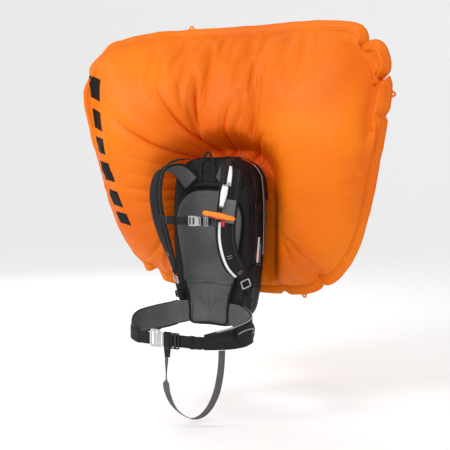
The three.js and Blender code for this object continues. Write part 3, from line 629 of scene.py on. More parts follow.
def make_leg_strap():
    """The hanging loop of webbing and its link from the keeper."""
    for name, route, width, steps, path_steps, diameter, stiffness, replaces in (
        ("leg_strap_link", Route(LEG_LINK, (0.1, -1, 0)), link_width, 24, 14, 0.008, "medium", None),
        ("leg_strap_webbing", Route(LEG_POINTS, LEG_FACINGS), leg_width, 120, 39, LEG_WIDTH, "limp",
         "leg_strap"),
    ):
        piece = swept(name, route, width, 0.002, steps, "grey_webbing", "leg_strap", replaces=replaces)
        path = route.line.samples(path_steps)


# ---------------------------------------------------------------- airbag
BAG_CELLS = 84
CUT_SLACK = 1.12
CUT_POWER, SEAM_POWER = 3.3, 4.2
# Where the seam is drawn in: angle round the outline, depth of the notch, and its width in radians.
BAG_NOTCHES = [(0.80, 0.046, 0.045), (0.56, 0.038, 0.030), (0.32, 0.012, 0.022), (-0.88, 0.026, 0.028),
               (-1.18, 0.012, 0.03), (-2.28, 0.020, 0.03), (2.52, 0.014, 0.05)]


def bag_outline(angle, inset, power):
    """A point of the bag's rounded, upward-widening outline: x and z."""
    c, s = math.cos(angle), math.sin(angle)
    reach = (abs(c) ** power + abs(s) ** power) ** (-1 / power)
    z = BAG_MIDDLE + (BAG_TALL / 2 - inset) * s * reach
    half = BAG_HALF_BOTTOM + (BAG_HALF_TOP - BAG_HALF_BOTTOM) * (z - BAG_BOTTOM) / BAG_TALL - inset
    return BAG_CENTRE_X + half * c * reach, z


def bag_seam_y(x):
    return 0.205 - 0.150 * ((x - BAG_CENTRE_X) / 0.548) ** 2


def notch_depth(angle):
    depth = 0.0
    for place, deep, wide in BAG_NOTCHES:
        away = (angle - place + math.pi) % (2 * math.pi) - math.pi
        depth += deep * bell(away, wide)
    return depth


def bag_place(i, j, cut=False):
    """Where a grid point lies in x and z: on the flat cut, or inside the sewn outline."""
    u, v = 2 * i / BAG_CELLS - 1, 2 * j / BAG_CELLS - 1
    level = max(abs(u), abs(v))
    if level < 1e-9:
        return BAG_CENTRE_X, BAG_MIDDLE
    angle = math.atan2(v, u)
    inset = BAG_FLANGE + (0 if cut else notch_depth(angle))
    x, z = bag_outline(angle, inset, CUT_POWER if cut else SEAM_POWER)
    level *= CUT_SLACK if cut else 1.0
    return BAG_CENTRE_X + (x - BAG_CENTRE_X) * level, BAG_MIDDLE + (z - BAG_MIDDLE) * level


def bag_grid():
    """Two flat panels joined at their edge: vertices, faces, the index of each grid point."""
    n = BAG_CELLS
    vertices, index, faces = [], {}, []
    for side in (0, 1):
        for j in range(n + 1):
            for i in range(n + 1):
                edge = i in (0, n) or j in (0, n)
                if side and edge:
                    index[side, i, j] = index[0, i, j]
                    continue
                x, z = bag_place(i, j, cut=True)
                offset = 0 if edge else (0.004 if side else -0.004)
                index[side, i, j] = len(vertices)
                vertices.append((x, bag_seam_y(BAG_CENTRE_X + (x - BAG_CENTRE_X) / CUT_SLACK) + offset, z))
        for j in range(n):
            for i in range(n):
                quad = [index[side, i + a, j + b] for a, b in ((0, 0), (1, 0), (1, 1), (0, 1))]
                faces.append(quad[::-1] if side else quad)
    return vertices, faces, index


def hold_bag(bag, vertices, index):
    """Pins the seam to its curved outline and a patch of the front panel to the pack's mouth."""
    mouth_z, gathered = 0.41, 0.88
    pins = bag.vertex_groups.new(name="pins")
    bag.shape_key_add(name="Basis")
    held = bag.shape_key_add(name="held")
    for (side, i, j), k in index.items():
        x, _, z = vertices[k]
        if i in (0, BAG_CELLS) or j in (0, BAG_CELLS):
            seam_x, seam_z = bag_place(i, j)
            pins.add([k], 1.0, "REPLACE")
            held.data[k].co = (seam_x, bag_seam_y(seam_x), seam_z)
        elif side == 0 and (x / 0.11) ** 2 + ((z - mouth_z) / 0.07) ** 2 < 1:
            pins.add([k], 1.0, "REPLACE")
            y = 0.15 - 0.8 * max(0, z - 0.42)
            held.data[k].co = (x * gathered, y, mouth_z + (z - mouth_z) * gathered)
    return held


def inflate_bag(bag, held):
    """Fills the two panels by cloth simulation while the seam is drawn to its outline."""
    scene = bpy.context.scene
    frames = 30
    for value, when in ((0, 1), (1, 14)):
        held.value = value
        held.keyframe_insert("value", frame=when)
    cloth = bag.modifiers.new("inflate", "CLOTH")
    for setting, value in {
        "quality": 6, "mass": 0.15, "air_damping": 3, "use_pressure": True, "uniform_pressure_force": 10,
        "tension_stiffness": 40, "compression_stiffness": 40, "shear_stiffness": 20,
        "bending_stiffness": 0.03, "tension_damping": 8, "compression_damping": 8, "shear_damping": 5,
        "bending_damping": 0.5, "vertex_group_mass": "pins", "pin_stiffness": 5,
    }.items():
        setattr(cloth.settings, setting, value)
    cloth.settings.effector_weights.gravity = 0
    cloth.collision_settings.use_collision = False
    cloth.point_cache.frame_start = 1
    cloth.point_cache.frame_end = frames
    for number in range(1, frames + 1):
        scene.frame_set(number)
    shape = vertex_places(bag.evaluated_get(bpy.context.evaluated_depsgraph_get()).data)
    scene.frame_set(1)
    return shape


def vertex_places(mesh):
    places = np.zeros(len(mesh.vertices) * 3)
    mesh.vertices.foreach_get("co", places)
    return places.reshape(-1, 3)


def outside_pack(x, z):
    """The distance from the pack's rounded outline, negative inside it."""
    half_width, half_height, radius, middle_z = 0.156, 0.300, 0.110, 0.209
    dx = abs(x) - half_width + radius
    dz = abs(z - middle_z) - half_height + radius
    return math.hypot(max(dx, 0), max(dz, 0)) + min(max(dx, dz), 0) - radius


def fold_push(x, z):
    """How far the fixed folds press the front panel in at a point."""
    push = 0.0
    for (x0, z0), (x1, z1), depth, wide in BAG_FOLDS:
        dx, dz = x1 - x0, z1 - z0
        length = math.hypot(dx, dz)
        along = ((x - x0) * dx + (z - z0) * dz) / length**2
        if not -0.25 < along < 1.0:
            continue
        bend = FOLD_BEND * math.sin(math.pi * along)
        aside = abs(((x - x0) * dz - (z - z0) * dx) / length + bend)
        fade = max(0.0, 1 - max(along, 0)) ** 0.7 * min(1, (along + 0.25) / 0.25)
        wide *= 1 + 0.7 * max(along, 0)
        push += depth * fade * (bell(aside, wide) - 0.42 * bell(aside - 2.2 * wide, wide))
    return push


def press_front(shape, front):
    """The front panel lies behind the pack, rises round it and takes the fixed folds.

    Returns each vertex's share of the deep red painted shade close to the pack.
    """
    rear_y, slope, softness = 0.1815, 1.6, 0.012
    painted_shade = np.zeros(len(shape))
    for k in front:
        x, y, z = shape[k]
        away = max(0.0, outside_pack(x, z))
        floor = rear_y - slope * away
        gap = (y - floor) / softness
        lifted = floor + softness * (math.log1p(math.exp(-abs(gap))) + max(gap, 0))
        shape[k][1] = lifted + fold_push(x, z)
        above = min(1.0, max(0.0, (z - 0.30) / 0.15))
        # Painted shade: deep red that fades with distance from the pack and is stronger above z 0.30.
        painted_shade[k] = bell(away, 0.080) * (0.12 + 0.55 * above)
    return painted_shade


def bag_rim(shape, index):
    """The seam's points in order round the bag."""
    n = BAG_CELLS
    order = [(i, 0) for i in range(n)] + [(n, j) for j in range(n)]
    order += [(i, n) for i in range(n, 0, -1)] + [(0, j) for j in range(n, 0, -1)]
    return [shape[index[0, i, j]] for i, j in order]


def flange_frames(rim):
    """For each seam point: the point, the flange's outward direction and its facing."""
    frames = []
    for k, point in enumerate(rim):
        tangent = unit(rim[(k + 3) % len(rim)] - rim[k - 3])
        outward = unit((tangent[2], 0.0, -tangent[0]))
        if np.dot(outward, (point[0] - BAG_CENTRE_X, 0, point[2] - BAG_MIDDLE)) < 0:
            outward = -outward
        sweep = 0.1 + (0.75 if outward[0] > 0 else 2.4) * abs(outward[0]) ** 2
        outward = unit((outward[0], sweep, outward[2]))
        frames.append((point, outward, unit(np.cross(tangent, outward))))
    return frames


def make_flange(frames):
    """The welded double edge outside the seam, slightly ruffled. Returns its outer edge."""
    half_thick = 0.0007
    rings, edge = [], []
    for point, outward, facing in frames:
        wave = noise.noise(Vector(point) * 16)
        fine = noise.noise(Vector(point) * 45)
        reach = 1 + 0.10 * noise.noise(Vector(point) * 12 + Vector((5, 0, 0)))
        inward = unit((BAG_CENTRE_X - point[0], 0.0, BAG_MIDDLE - point[2]))
        line = [point + inward * 0.009]
        for level in (0, 0.006, 0.013, 0.02, BAG_FLANGE):
            ripple = (0.007 * wave + 0.003 * fine) * (level / BAG_FLANGE)
            line.append(point + outward * level * reach + facing * ripple)
        edge.append(line[-1])
        front = [p + facing * half_thick for p in line]
        rear = [p - facing * half_thick for p in reversed(line)]
        rings.append(front + rear)
    make_piece("airbag_flange", loft(rings + rings[:1], caps="none"), "orange_nylon")
    return edge


def make_tab(name, base, outward, facing):
    """A small eyelet tab that stands out from the flange."""
    middle, radius, eye, foot = 0.006, 0.009, 0.003, -0.006
    side = unit(np.cross(outward, facing))
    turns = [math.pi * (k / 16) - math.pi / 2 for k in range(17)]
    outline = [(radius * math.sin(a), middle + radius * math.cos(a)) for a in turns]
    outline = [(-0.022, foot), (-0.015, 0.0)] + outline + [(0.015, 0.0), (0.022, foot)]
    hole = [(eye * math.sin(math.pi * k / 10), middle + eye * math.cos(math.pi * k / 10)) for k in range(20)]
    build = bmesh.new()
    layers = []
    for level in (0.0008, -0.0008):
        loops = []
        for ring in (outline, hole):
            spots = [build.verts.new(base + side * a + outward * b + facing * level) for a, b in ring]
            loops.append([build.edges.new((spots[i - 1], spots[i])) for i in range(len(spots))])
        bmesh.ops.triangle_fill(build, use_beauty=True, edges=loops[0] + loops[1])
        layers.append(loops)
    for near, far in zip(*layers):
        bmesh.ops.bridge_loops(build, edges=near + far)
    bmesh.ops.recalc_face_normals(build, faces=build.faces)
    mesh = bpy.data.meshes.new(name)
    build.to_mesh(mesh)
    build.free()
    add_piece(name, mesh, "orange_nylon")


def make_bag_bars(tree):
    """Plain slanted bars down the front panel's edge, lying on the cloth."""
    line = Curve(mm([(-488, 0, 780), (-470, 0, 610), (-441, 0, 480), (-398, 0, 335), (-366, 0, 235)]))
    count, share, first = 6, 0.66, 0.02
    wide, slant, lift = 0.046, 0.024, 0.0008
    for number in range(count):
        rows = []
        for a in range(9):
            t = first + (number + share * a / 8) / count
            centre, tangent = line.at(t), line.tangent(t)
            side = np.array((-tangent[2], 0, tangent[0]))
            row = []
            for b in range(9):
                place = centre + (side * wide + tangent * slant) * (b / 8 - 0.5)
                hit, normal, _, _ = tree.ray_cast(Vector((place[0], -0.6, place[2])), Vector((0, 1, 0)))
                row.append(hit + normal * lift)
            rows.append(row)
        printed(f"airbag_bar_{number + 1}", rows, "black_print")


def bag_skin():
    """The filled bag as a dense mesh with its painted deep red shade near the pack, and its seam points in
    order.
    """
    vertices, faces, index = bag_grid()
    mesh = bpy.data.meshes.new("airbag_cut")
    mesh.from_pydata(vertices, [], faces)
    bag = bpy.data.objects.new("airbag_cut", mesh)
    bpy.context.scene.collection.objects.link(bag)
    shape = inflate_bag(bag, hold_bag(bag, vertices, index))
    bpy.data.objects.remove(bag)
    rough = make_piece("airbag_rough", (shape, faces), "orange_nylon", None)
    add_subdivision(rough)
    dense = bpy.data.meshes.new_from_object(rough.evaluated_get(bpy.context.evaluated_depsgraph_get()))
    bpy.data.objects.remove(rough)
    dense.materials.clear()
    fine = vertex_places(dense)
    per_side = len(dense.polygons) // 2
    front = {k for polygon in dense.polygons[:per_side] for k in polygon.vertices}
    front -= {k for polygon in dense.polygons[per_side:] for k in polygon.vertices}
    # Painted shade near the pack, stored on the vertices for the cloth's colour.
    painted_shade = press_front(fine, sorted(front))
    dense.vertices.foreach_set("co", fine.ravel())
    dense.attributes.new("pack_painted_shade", "FLOAT", "POINT").data.foreach_set("value", painted_shade)
    dense.update()
    return dense, bag_rim(shape, index)


def make_airbag():
    dense, rim = bag_skin()
    skin = add_piece("airbag_skin", dense, "orange_nylon", replaces="airbag")
    frames = flange_frames(rim)
    edge = make_flange(frames)
    seam = [(p + outward * 0.0042, facing if facing[1] < 0 else -facing) for p, outward, facing in frames]
    stitched("airbag_stitching", [seam + seam[:1]], 0.0075, 0.0015, 0.0007, "pale_thread", lift=0.0012)
    for number, share in enumerate((0.06, 0.20, 0.435, 0.665, 0.835, 0.955)):
        k = int(share * len(frames))
        _, outward, facing = frames[k]
        make_tab(f"airbag_tab_{number + 1}", edge[k] - outward * 0.002, outward, facing)
    places = [vertex.co for vertex in dense.vertices]
    make_bag_bars(BVHTree.FromPolygons(places, [tuple(p.vertices) for p in dense.polygons]))


# ---------------------------------------------------------------- pack body
PACK_OUTLINE = mm([
    (0, 0, 484), (60, 0, 478), (100, 0, 457), (125, 0, 424), (136, 0, 360), (138, 0, 250),
    (133, 0, 140), (120, 0, 20), (104, 0, -38), (72, 0, -66), (0, 0, -68),
])
# The body's depth behind its rim and the outline's scale there.
PACK_SECTIONS = [
    (0.0, 0.995), (0.04, 1.015), (0.095, 1.02), (0.13, 0.99), (0.148, 0.93), (0.157, 0.83), (0.162, 0.64),
]
PACK_DEPTH = PACK_SECTIONS[-1][0]
PACK_CENTRE_Z = 0.215
PACK_FRONT_Y = 0.014


def outline_points(half, samples=60):
    """A half outline, made whole and smoothed: points (x, z) clockwise from the top."""
    right = [(p[0], p[2]) for p in Curve(half, spread=True).samples(samples)]
    return right + [(-x, z) for x, z in reversed(right[1:-1])]


def scaled_z(z, scale, middle=PACK_CENTRE_Z):
    return middle + (z - middle) * scale


def pack_scale(depth):
    depths, scales = zip(*PACK_SECTIONS)
    return float(np.interp(depth, depths, scales))


PACK_RIGHT = sorted((z, x) for x, z in outline_points(PACK_OUTLINE, 48)[:49] if x > 0.06)


def pack_side_x(z, depth):
    """The side wall's half-width at a height and a depth behind the rim."""
    scale = pack_scale(depth)
    height = scaled_z(z, 1 / scale)
    return float(np.interp(height, *zip(*PACK_RIGHT))) * scale


def wall_spot(z, depth, lift, sign=1):
    """A point lifted off a side wall, and the wall's outward direction there."""
    step = 0.004
    slope = (pack_side_x(z + step, depth) - pack_side_x(z - step, depth)) / (2 * step)
    ahead = (pack_side_x(z, depth + step) - pack_side_x(z, depth - step)) / (2 * step)
    normal = unit((sign, -ahead, -slope))
    return np.array((sign * pack_side_x(z, depth), PACK_FRONT_Y + depth, z)) + normal * lift, normal


def dented(point, outward):
    """Soft hollows and folds of packed fabric at a point of the pack's skin."""
    x, y, z = point
    broad = noise.noise(Vector((x * 9, y * 14, z * 7)))
    folds = noise.noise(Vector((x * 14 + 3, y * 40, z * 22)))
    return np.array(point) + np.array(outward) * (0.0022 * broad + 0.0011 * folds - 0.0022)


def make_pack_cover():
    """The fabric shell: side walls and rear panel in one skin, with its hem at the rim."""
    outline = outline_points(PACK_OUTLINE)
    steps = 26
    rows = []
    for i in range(steps + 1):
        depth = PACK_DEPTH * (1 - (1 - i / steps) ** 1.35)
        scale = pack_scale(depth)
        ring = []
        for k, (x, z) in enumerate(outline):
            ahead, behind = outline[(k + 1) % len(outline)], outline[k - 1]
            outward = unit((behind[1] - ahead[1], 0, ahead[0] - behind[0]))
            if np.dot(outward, (x, 0, z - PACK_CENTRE_Z)) < 0:
                outward = -outward
            ring.append(dented((x * scale, PACK_FRONT_Y + depth, scaled_z(z, scale)), outward))
        rows.append(ring)
    centre = np.array((0, PACK_FRONT_Y + PACK_DEPTH + 0.0005, PACK_CENTRE_Z))
    for share in (0.7, 0.35, 0.08):
        rows.append([centre + (p - centre) * share for p in rows[steps]])
    hem = [p + (centre - p) * np.array((0.02, 0, 0.01)) for p in rows[0]]
    cover = make_piece("pack_cover", loft([hem] + rows, caps="last"), "black_fabric", replaces="pack_shell")
    add_subdivision(cover)
    add_modifier(cover, "SOLIDIFY", thickness=0.0012, offset=-1)


def rim_line(scale, y):
    return [np.array((x * scale, y, scaled_z(z, scale))) for x, z in outline_points(PACK_OUTLINE)]


def make_back_sheet():
    """The black sheet behind the pads, with a corded edge round the pack's rim."""
    rows = [rim_line(scale, y) for scale, y in (
        (0.985, 0.0138), (0.99, 0.0115), (0.98, 0.0092), (0.9, 0.0085), (0.6, 0.009), (0.1, 0.0095),
    )]
    sheet = make_piece("back_sheet_cover", loft(rows, caps="last"), "black_fabric", replaces="back_sheet")
    add_subdivision(sheet)
    tube("rim_piping", rim_line(0.998, 0.0128), 0.0024, closed=True)


def make_side_details():
    """Seams, topstitching and a flat pocket edge on both side walls."""
    for side, sign in SIDES.items():
        seam = [wall_spot(0.44 - 0.46 * i / 50, 0.052, 0.0008, sign)[0] for i in range(51)]
        tube(f"side_seam_{side}", seam, 0.0016)
        lines = [[wall_spot(0.43 - 0.44 * i / 60, depth, 0.0008, sign) for i in range(61)]
                 for depth in (0.058, 0.046)]
        stitched(f"side_stitching_{side}", lines)
        pocket = [wall_spot(0.115 + 0.02 * math.sin(math.pi * i / 20), 0.012 + 0.11 * i / 20, 0.0012, sign)[0]
                  for i in range(21)]
        tube(f"side_pocket_edge_{side}", pocket, 0.0022)


def make_side_marks():
    """A plain white bar, a short red block and a thin pale line on the +X wall, in place of printed words."""
    for name, low_z, high_z, low_depth, high_depth, look, slot, lean in (
        ("side_mark_white", 0.132, 0.222, 0.066, 0.080, "white_fabric", "white_fabric", 0.004),
        ("side_mark_red", 0.150, 0.172, 0.056, 0.063, "red_fabric", "red_fabric", 0.0),
        ("side_mark_line", 0.126, 0.200, 0.086, 0.089, "light_piping", "white_fabric", 0.0),
    ):
        rows = []
        for up in np.linspace(0, 1, 9):
            depths = np.linspace(low_depth, high_depth, 5) + lean * (up - 0.5)
            rows.append([wall_spot(low_z + (high_z - low_z) * up, depth, 0.0011)[0] for depth in depths])
        printed(name, rows, look, slot)


def make_main_zip():
    """Coated zip tape with its coil, on the side wall of the wearer's left."""
    heights = (0.458, 0.440, 0.418, 0.390, 0.350, 0.300, 0.250, 0.200, 0.160)
    route = Route(*zip(*[wall_spot(z, 0.112, 0.0026 if z < 0.4 else 0.0042) for z in heights]))
    swept("main_zip_tape", route, 0.013, 0.0014, 60, "silver_tape", replaces="main_zip")
    swept("main_zip_coil", route, 0.0042, 0.0022, 60, "black_plastic", up=0.0008)


# ---------------------------------------------------------------- pads
BACK_PAD_HALF = mm([(0, 0, 377), (58, 0, 372), (98, 0, 344), (118, 0, 300), (117, 0, 240), (106, 0, 175),
                    (96, 0, 120), (88, 0, 73), (0, 0, 73)])
LUMBAR_HALF = mm([(0, 0, 74), (87, 0, 74), (76, 0, 30), (70, 0, -20), (65, 0, -60), (0, 0, -60)])
YOKE_HALF = mm([(0, 0, 470), (70, 0, 464), (108, 0, 432), (119, 0, 391), (0, 0, 391)])
PAD_REAR_Y = 0.009


def outline_and_middle(half_outline):
    outline = outline_points(half_outline)
    heights = [z for _, z in outline]
    return outline, (min(heights) + max(heights)) / 2


def moulded_pad(name, half_outline, face_y, relief, look, replaces):
    """A foam pad with a rolled edge whose face follows relief(x, z), in metres off the flat face."""
    outline, middle = outline_and_middle(half_outline)
    rings = []
    for scale, share in ((0.985, 0.0), (1.0, 0.25), (1.0, 0.5), (0.993, 0.72), (0.98, 0.88), (0.96, 0.97)):
        y = PAD_REAR_Y - (PAD_REAR_Y - face_y) * share
        rings.append([np.array((x * scale, y, scaled_z(z, scale, middle))) for x, z in outline])
    for level in np.linspace(0.94, 0.04, 34):
        places = [(x * level, scaled_z(z, level, middle)) for x, z in outline]
        rings.append([np.array((x, face_y + relief(x, z), z)) for x, z in places])
    return make_piece(name, loft(rings), look, replaces=replaces)


def groove(distance, wide, depth):
    return depth * bell(distance, wide)


def back_relief(x, z):
    """Low chevrons, an arch at the top, side channels, and a foot that runs out to the lumbar pad's level."""
    foot = 0.0074 * smooth((0.150 - z) / 0.075)
    chevron = 0.0
    for low in (0.150, 0.185):
        chevron += groove((z - low - 0.75 * abs(x)) / 1.25, 0.0035, 0.0022) * (1 if abs(x) < 0.07 else 0)
    arch = groove(math.hypot(x, (z - 0.235) * 0.92) - 0.112, 0.004, 0.0022) * (1 if z > 0.27 else 0)
    edge = groove(abs(x) - 0.088 + 0.08 * max(0, 0.25 - z), 0.0045, 0.0026) * (1 if z < 0.33 else 0)
    return foot + chevron + arch + edge


def lumbar_relief(x, z):
    """A soft bowl with a pointed M and its middle line moulded in."""
    bowl = 0.0008 * (1 + noise.noise(Vector((x * 25, 0, z * 25))))
    off = abs(x)
    if off < 0.028:
        mark = groove((z + 0.035 - 1.9 * off) / 2.1, 0.0022, 0.003)
    else:
        mark = groove(z - 0.018 + 0.25 * (off - 0.028), 0.0028, 0.0026) * smooth((0.068 - off) / 0.02)
    middle = groove(x, 0.0022, 0.0028) * smooth((z + 0.038) / 0.01) * smooth((0.048 - z) / 0.015)
    return bowl + mark + middle


def yoke_relief(x, z):
    return groove(z - 0.436 + 0.03 * abs(x), 0.002, 0.002) + groove(z - 0.402, 0.002, 0.0018)


def make_pads():
    for name, half, face_y, relief, look, node, fill in (
        ("back_pad_foam", BACK_PAD_HALF, -0.008, back_relief, "grey_foam", "back_pad", 0.85),
        ("yoke_cover", YOKE_HALF, -0.005, yoke_relief, "black_fabric", "yoke_panel", None),
        ("lumbar_pad_foam", LUMBAR_HALF, 0.0, lumbar_relief, "grey_foam", "lumbar_pad", 0.8),
    ):
        pad = moulded_pad(name, half, face_y, relief, look, node)
    # Bound edges; where the back pad and the lumbar pad meet there is none.
    for name, half, scale, y, radius, low, high in (
        ("back_pad_binding", BACK_PAD_HALF, 1.004, 0.002, 0.0030, 0.076, 1.0),
        ("lumbar_binding", LUMBAR_HALF, 1.004, -0.0040, 0.0034, -1.0, 0.072),
        ("yoke_binding", YOKE_HALF, 1.0, 0.003, 0.0018, -1.0, 1.0),
    ):
        outline, middle = outline_and_middle(half)
        points = [(x * scale, y, scaled_z(z, scale, middle)) for x, z in outline]
        kept = [low < p[2] < high for p in points]
        if not all(kept):
            first = next(k for k in range(len(kept)) if kept[k] and not kept[k - 1])
            points = [points[(first + k) % len(points)] for k in range(sum(kept))]
        tube(name, points, radius, closed=all(kept))
    outline, middle = outline_and_middle(BACK_PAD_HALF)
    scale = 0.985
    top = sorted((x * scale, -0.0015, scaled_z(z, scale, middle)) for x, z in outline if z > 0.27)
    tube("back_pad_piping", top, 0.0013, "light_piping")


# ---------------------------------------------------------------- top of the pack
def make_haul_loop():
    rise = [(26, -8, 408), (26, -8.5, 440), (19, -7, 476)]
    points = [(-x, y, z) for x, y, z in rise] + [(0, -3, 502)] + rise[::-1]
    swept("haul_loop_webbing", Route(mm(points), (0, -1, 0.1)),
          lambda t: 0.011 - 0.004 * math.sin(math.pi * t) ** 4, 0.003, 70, body="haul_loop",
          replaces="haul_loop")


def make_burst_flap():
    """The cover over the airbag's opening, along the top of the pack's rear edge."""
    scale, lift, spring_z = pack_scale(0.127), 0.0036, 0.33
    right = [(p[0], p[2]) for p in Curve(PACK_OUTLINE, spread=True).samples(48) if p[2] > spring_z]
    points, facings = [], []
    for x, z in [(-x, z) for x, z in reversed(right[1:])] + right:
        outward = unit((x / 0.138, 0, max(z - spring_z, 0) / 0.154))
        points.append((x * scale + outward[0] * lift, 0.15, scaled_z(z, scale) + outward[2] * lift))
        facings.append((outward[0], 0.15, outward[2]))
    route = Route(points, facings)
    swept("burst_flap_cover", route, 0.017, 0.0022, 110, "black_fabric", ripple=0.0012, replaces="burst_flap")
    tube("burst_flap_edge", [route.at(i / 110, 0.0085) for i in range(111)], 0.0014)


# ---------------------------------------------------------------- shoulder harness
def strap_route(sign, lower, lower_facings):
    points = [(sign * 58, -12, 402), (sign * 96, -40, 447), (sign * 128, -84, 442), (sign * 135, -110, 380),
              (sign * 125, -113, 300), (sign * 113, -92, 220)]
    facings = [(0, 1, 0), (sign * 0.2, 0.55, 0.8), (sign * 0.35, -0.35, 0.87), (sign * 0.38, -0.92, 0.15),
               (sign * 0.35, -0.93, -0.05), (sign * 0.4, -0.88, -0.25)]
    return Route(mm(points + lower), facings + lower_facings)


STRAP_ROUTES = {
    "right": strap_route(-1, [(-105, -62, 150), (-103, -46, 106)],
                         [(-0.6, -0.75, -0.3), (-0.8, -0.55, -0.3)]),
    "left": strap_route(1, [(120, -64, 150), (136, -22, 106)],
                        [(0.55, -0.8, -0.3), (0.8, -0.55, -0.2)]),
}
LOWER_ROUTES = {
    "right": Route(mm([(-106, -26, 66), (-108, -14, 46), (-108, -3, 26), (-106, 5.5, 6)]),
                   [(-0.4, -0.85, -0.5), (-0.3, -0.85, -0.5), (-0.1, -0.95, -0.4), (0, -1, -0.1)]),
    "left": Route(mm([(140, 6, 63), (138, 20, 52), (131, 44, 42), (129, 66, 34)]),
                  [(0.9, -0.4, -0.2), (1, -0.2, -0.1), (1, 0, -0.08), (1, 0, -0.1)]),
}


def strap_width(t):
    return 0.066 - 0.008 * t - 0.026 * max(0.0, (t - 0.85) / 0.15) ** 2


def make_shoulder_strap(side, sign):
    """A padded strap with a black outer face and a grey wearer face, its bindings, stitches and webbing."""
    route = STRAP_ROUTES[side]
    section = pillow_section()
    steps = 90
    name = f"shoulder_strap_{side}"
    strap = swept(f"{name}_pad", route, lambda t: strap_width(t) - 0.002, 0.0108, steps,
                  ["black_fabric", "grey_foam"], section=section, replaces=name)
    paint_inner(strap, steps, len(section), 17)
    for edge_name, edge in (("inner", 1), ("outer", -1)):
        line = [route.at(i / steps, edge * (strap_width(i / steps) / 2 - 0.001)) for i in range(steps + 1)]
        tube(f"{name}_{edge_name}_binding", line, 0.0026)
    lines = []
    for edge in (-1, 1):
        lines.append([(route.at(t, edge * (strap_width(t) / 2 - 0.0075), 0.0054), route.frame(t)[2])
                      for t in np.linspace(0.02, 0.98, steps + 1)])
    stitched(f"{name}_stitching", lines)
    # A webbing runs down the strap's outer face and carries the ring at its end.
    swept(f"{name}_webbing", route, 0.020, 0.0016, 70, start=0.3, end=0.985, up=0.0063,
          across=0.0 if sign > 0 else -0.004)
    bars = []
    for t in (0.80, 0.815, 0.945, 0.96):
        bars.append([(route.at(t, a, 0.0074), route.frame(t)[2]) for a in np.linspace(-0.009, 0.009, 8)])
    stitched(f"{name}_bartacks", bars, 0.0019, 0.0002, 0.0009, "light_piping", slot="black_webbing")


def paint_inner(piece, steps, count, last):
    """Gives the wearer-side faces of a padded piece its second material."""
    for row in range(steps):
        for k in range(1, last):
            piece.data.polygons[row * count + k].material_index = 1


def make_load_lifter(side, sign):
    over = Route(mm([(sign * 80, 10, 478), (sign * 83, 2, 480), (sign * 86, -5, 480)]),
                 [(0, -0.2, 1), (0, -0.1, 1), (0, 0, 1)])
    swept(f"load_lifter_{side}_webbing", over, 0.018, 0.0018, 12, replaces=f"load_lifter_{side}")
    # From the lock the webbing runs down to its anchor on the strap.
    path = [(sign * 0.0965, -0.0385, 0.4765), (sign * 0.103, -0.052, 0.472), (sign * 0.112, -0.068, 0.462),
            STRAP_ROUTES[side].at(0.27, 0, 0.0062)]
    down = Route(path, [(0, -0.4, 1), (0, -0.4, 1), (sign * 0.2, -0.4, 0.9), (sign * 0.35, -0.35, 0.87)])
    swept(f"load_lifter_{side}_anchor", down, 0.018, 0.0018, 20)


def make_harness():
    for side, sign in SIDES.items():
        make_shoulder_strap(side, sign)
        make_load_lifter(side, sign)
        lower = f"lower_webbing_{side}"
        swept(f"{lower}_strap", LOWER_ROUTES[side], 0.020, 0.0018, 40, replaces=lower)
        route = STRAP_ROUTES[side]
        first, last = route.at(0.985, 0, 0.004), route.at(1.0, 0, 0.003) + route.line.tangent(1.0) * 0.008
        tab = Route([first, (first + last) / 2, last], route.frame(1.0)[2])
        swept(f"ring_tab_{side}", tab, 0.020, 0.0022, 6)


def make_left_strap_trim():
    """The white sleeve, the grey patch and the white piping on the wearer's left strap."""
    route = STRAP_ROUTES["left"]
    swept("white_sleeve_band", route, lambda t: 0.007 + 0.006 * min(1, (t - 0.24) / 0.1), 0.0022, 40,
          "white_fabric", start=0.25, end=0.40, across=0.004, up=0.0085)
    swept("strap_patch", route, 0.040, 0.002, 30, "patch_grey",
          start=0.475, end=0.60, across=-0.006, up=0.0078)
    swept("white_piping", route, lambda t: 0.0085 - 0.003 * abs(2 * t - 1.5), 0.0024, 80,
          "white_fabric", start=0.60, end=0.955, across=0.019, up=0.0068)


# ---------------------------------------------------------------- straps that lie flat to the front
def flat_webbing(name, points, width, thickness, steps, look, body, ripple=0.0, replaces=None):
    """A webbing through points in millimetres whose face is to the front."""
    swept(name, Route(mm(points), FRONT), width, thickness, steps, look, body, slot="black_webbing",
          ripple=ripple, replaces=replaces)


def make_chest_strap():
    body, z = "chest_strap", 286
    for name, line, width, thickness, steps, look, ripple, replaces in (
        ("chest_webbing_right_strap", [(-89, -140.5), (-40, -143.5), (5.5, -144)], 0.025, 0.0018, 50,
         "black_webbing", 0.0004, "chest_webbing_right"),
        ("chest_webbing_left_strap", [(53, -144), (70, -144), (89, -140.5)], 0.025, 0.0018, 24,
         "black_webbing", 0.0, "chest_webbing_left"),
        # The free end folds back over the webbing and is held by an elastic keeper.
        ("chest_webbing_tail", [(-6, -145.6), (-30, -145.8), (-56, -144.9)], 0.0245, 0.0016, 24,
         "black_webbing", 0.0005, None),
        ("chest_keeper", [(-38, -145.4), (-44, -145.2), (-50, -144.9)], 0.0275, 0.0052, 6,
         "binding", 0.0, None),
    ):
        points = [(x, y, z) for x, y in line]
        flat_webbing(name, points, width, thickness, steps, look, body, ripple, replaces)
    bars = [[((x, -0.1424, z / 1000 + a), FRONT) for a in np.linspace(-0.010, 0.010, 8)]
            for x in (-0.078, -0.075)]
    stitched("chest_bartacks", bars, 0.0019, 0.0003, 0.0006, body=body, slot="black_webbing")


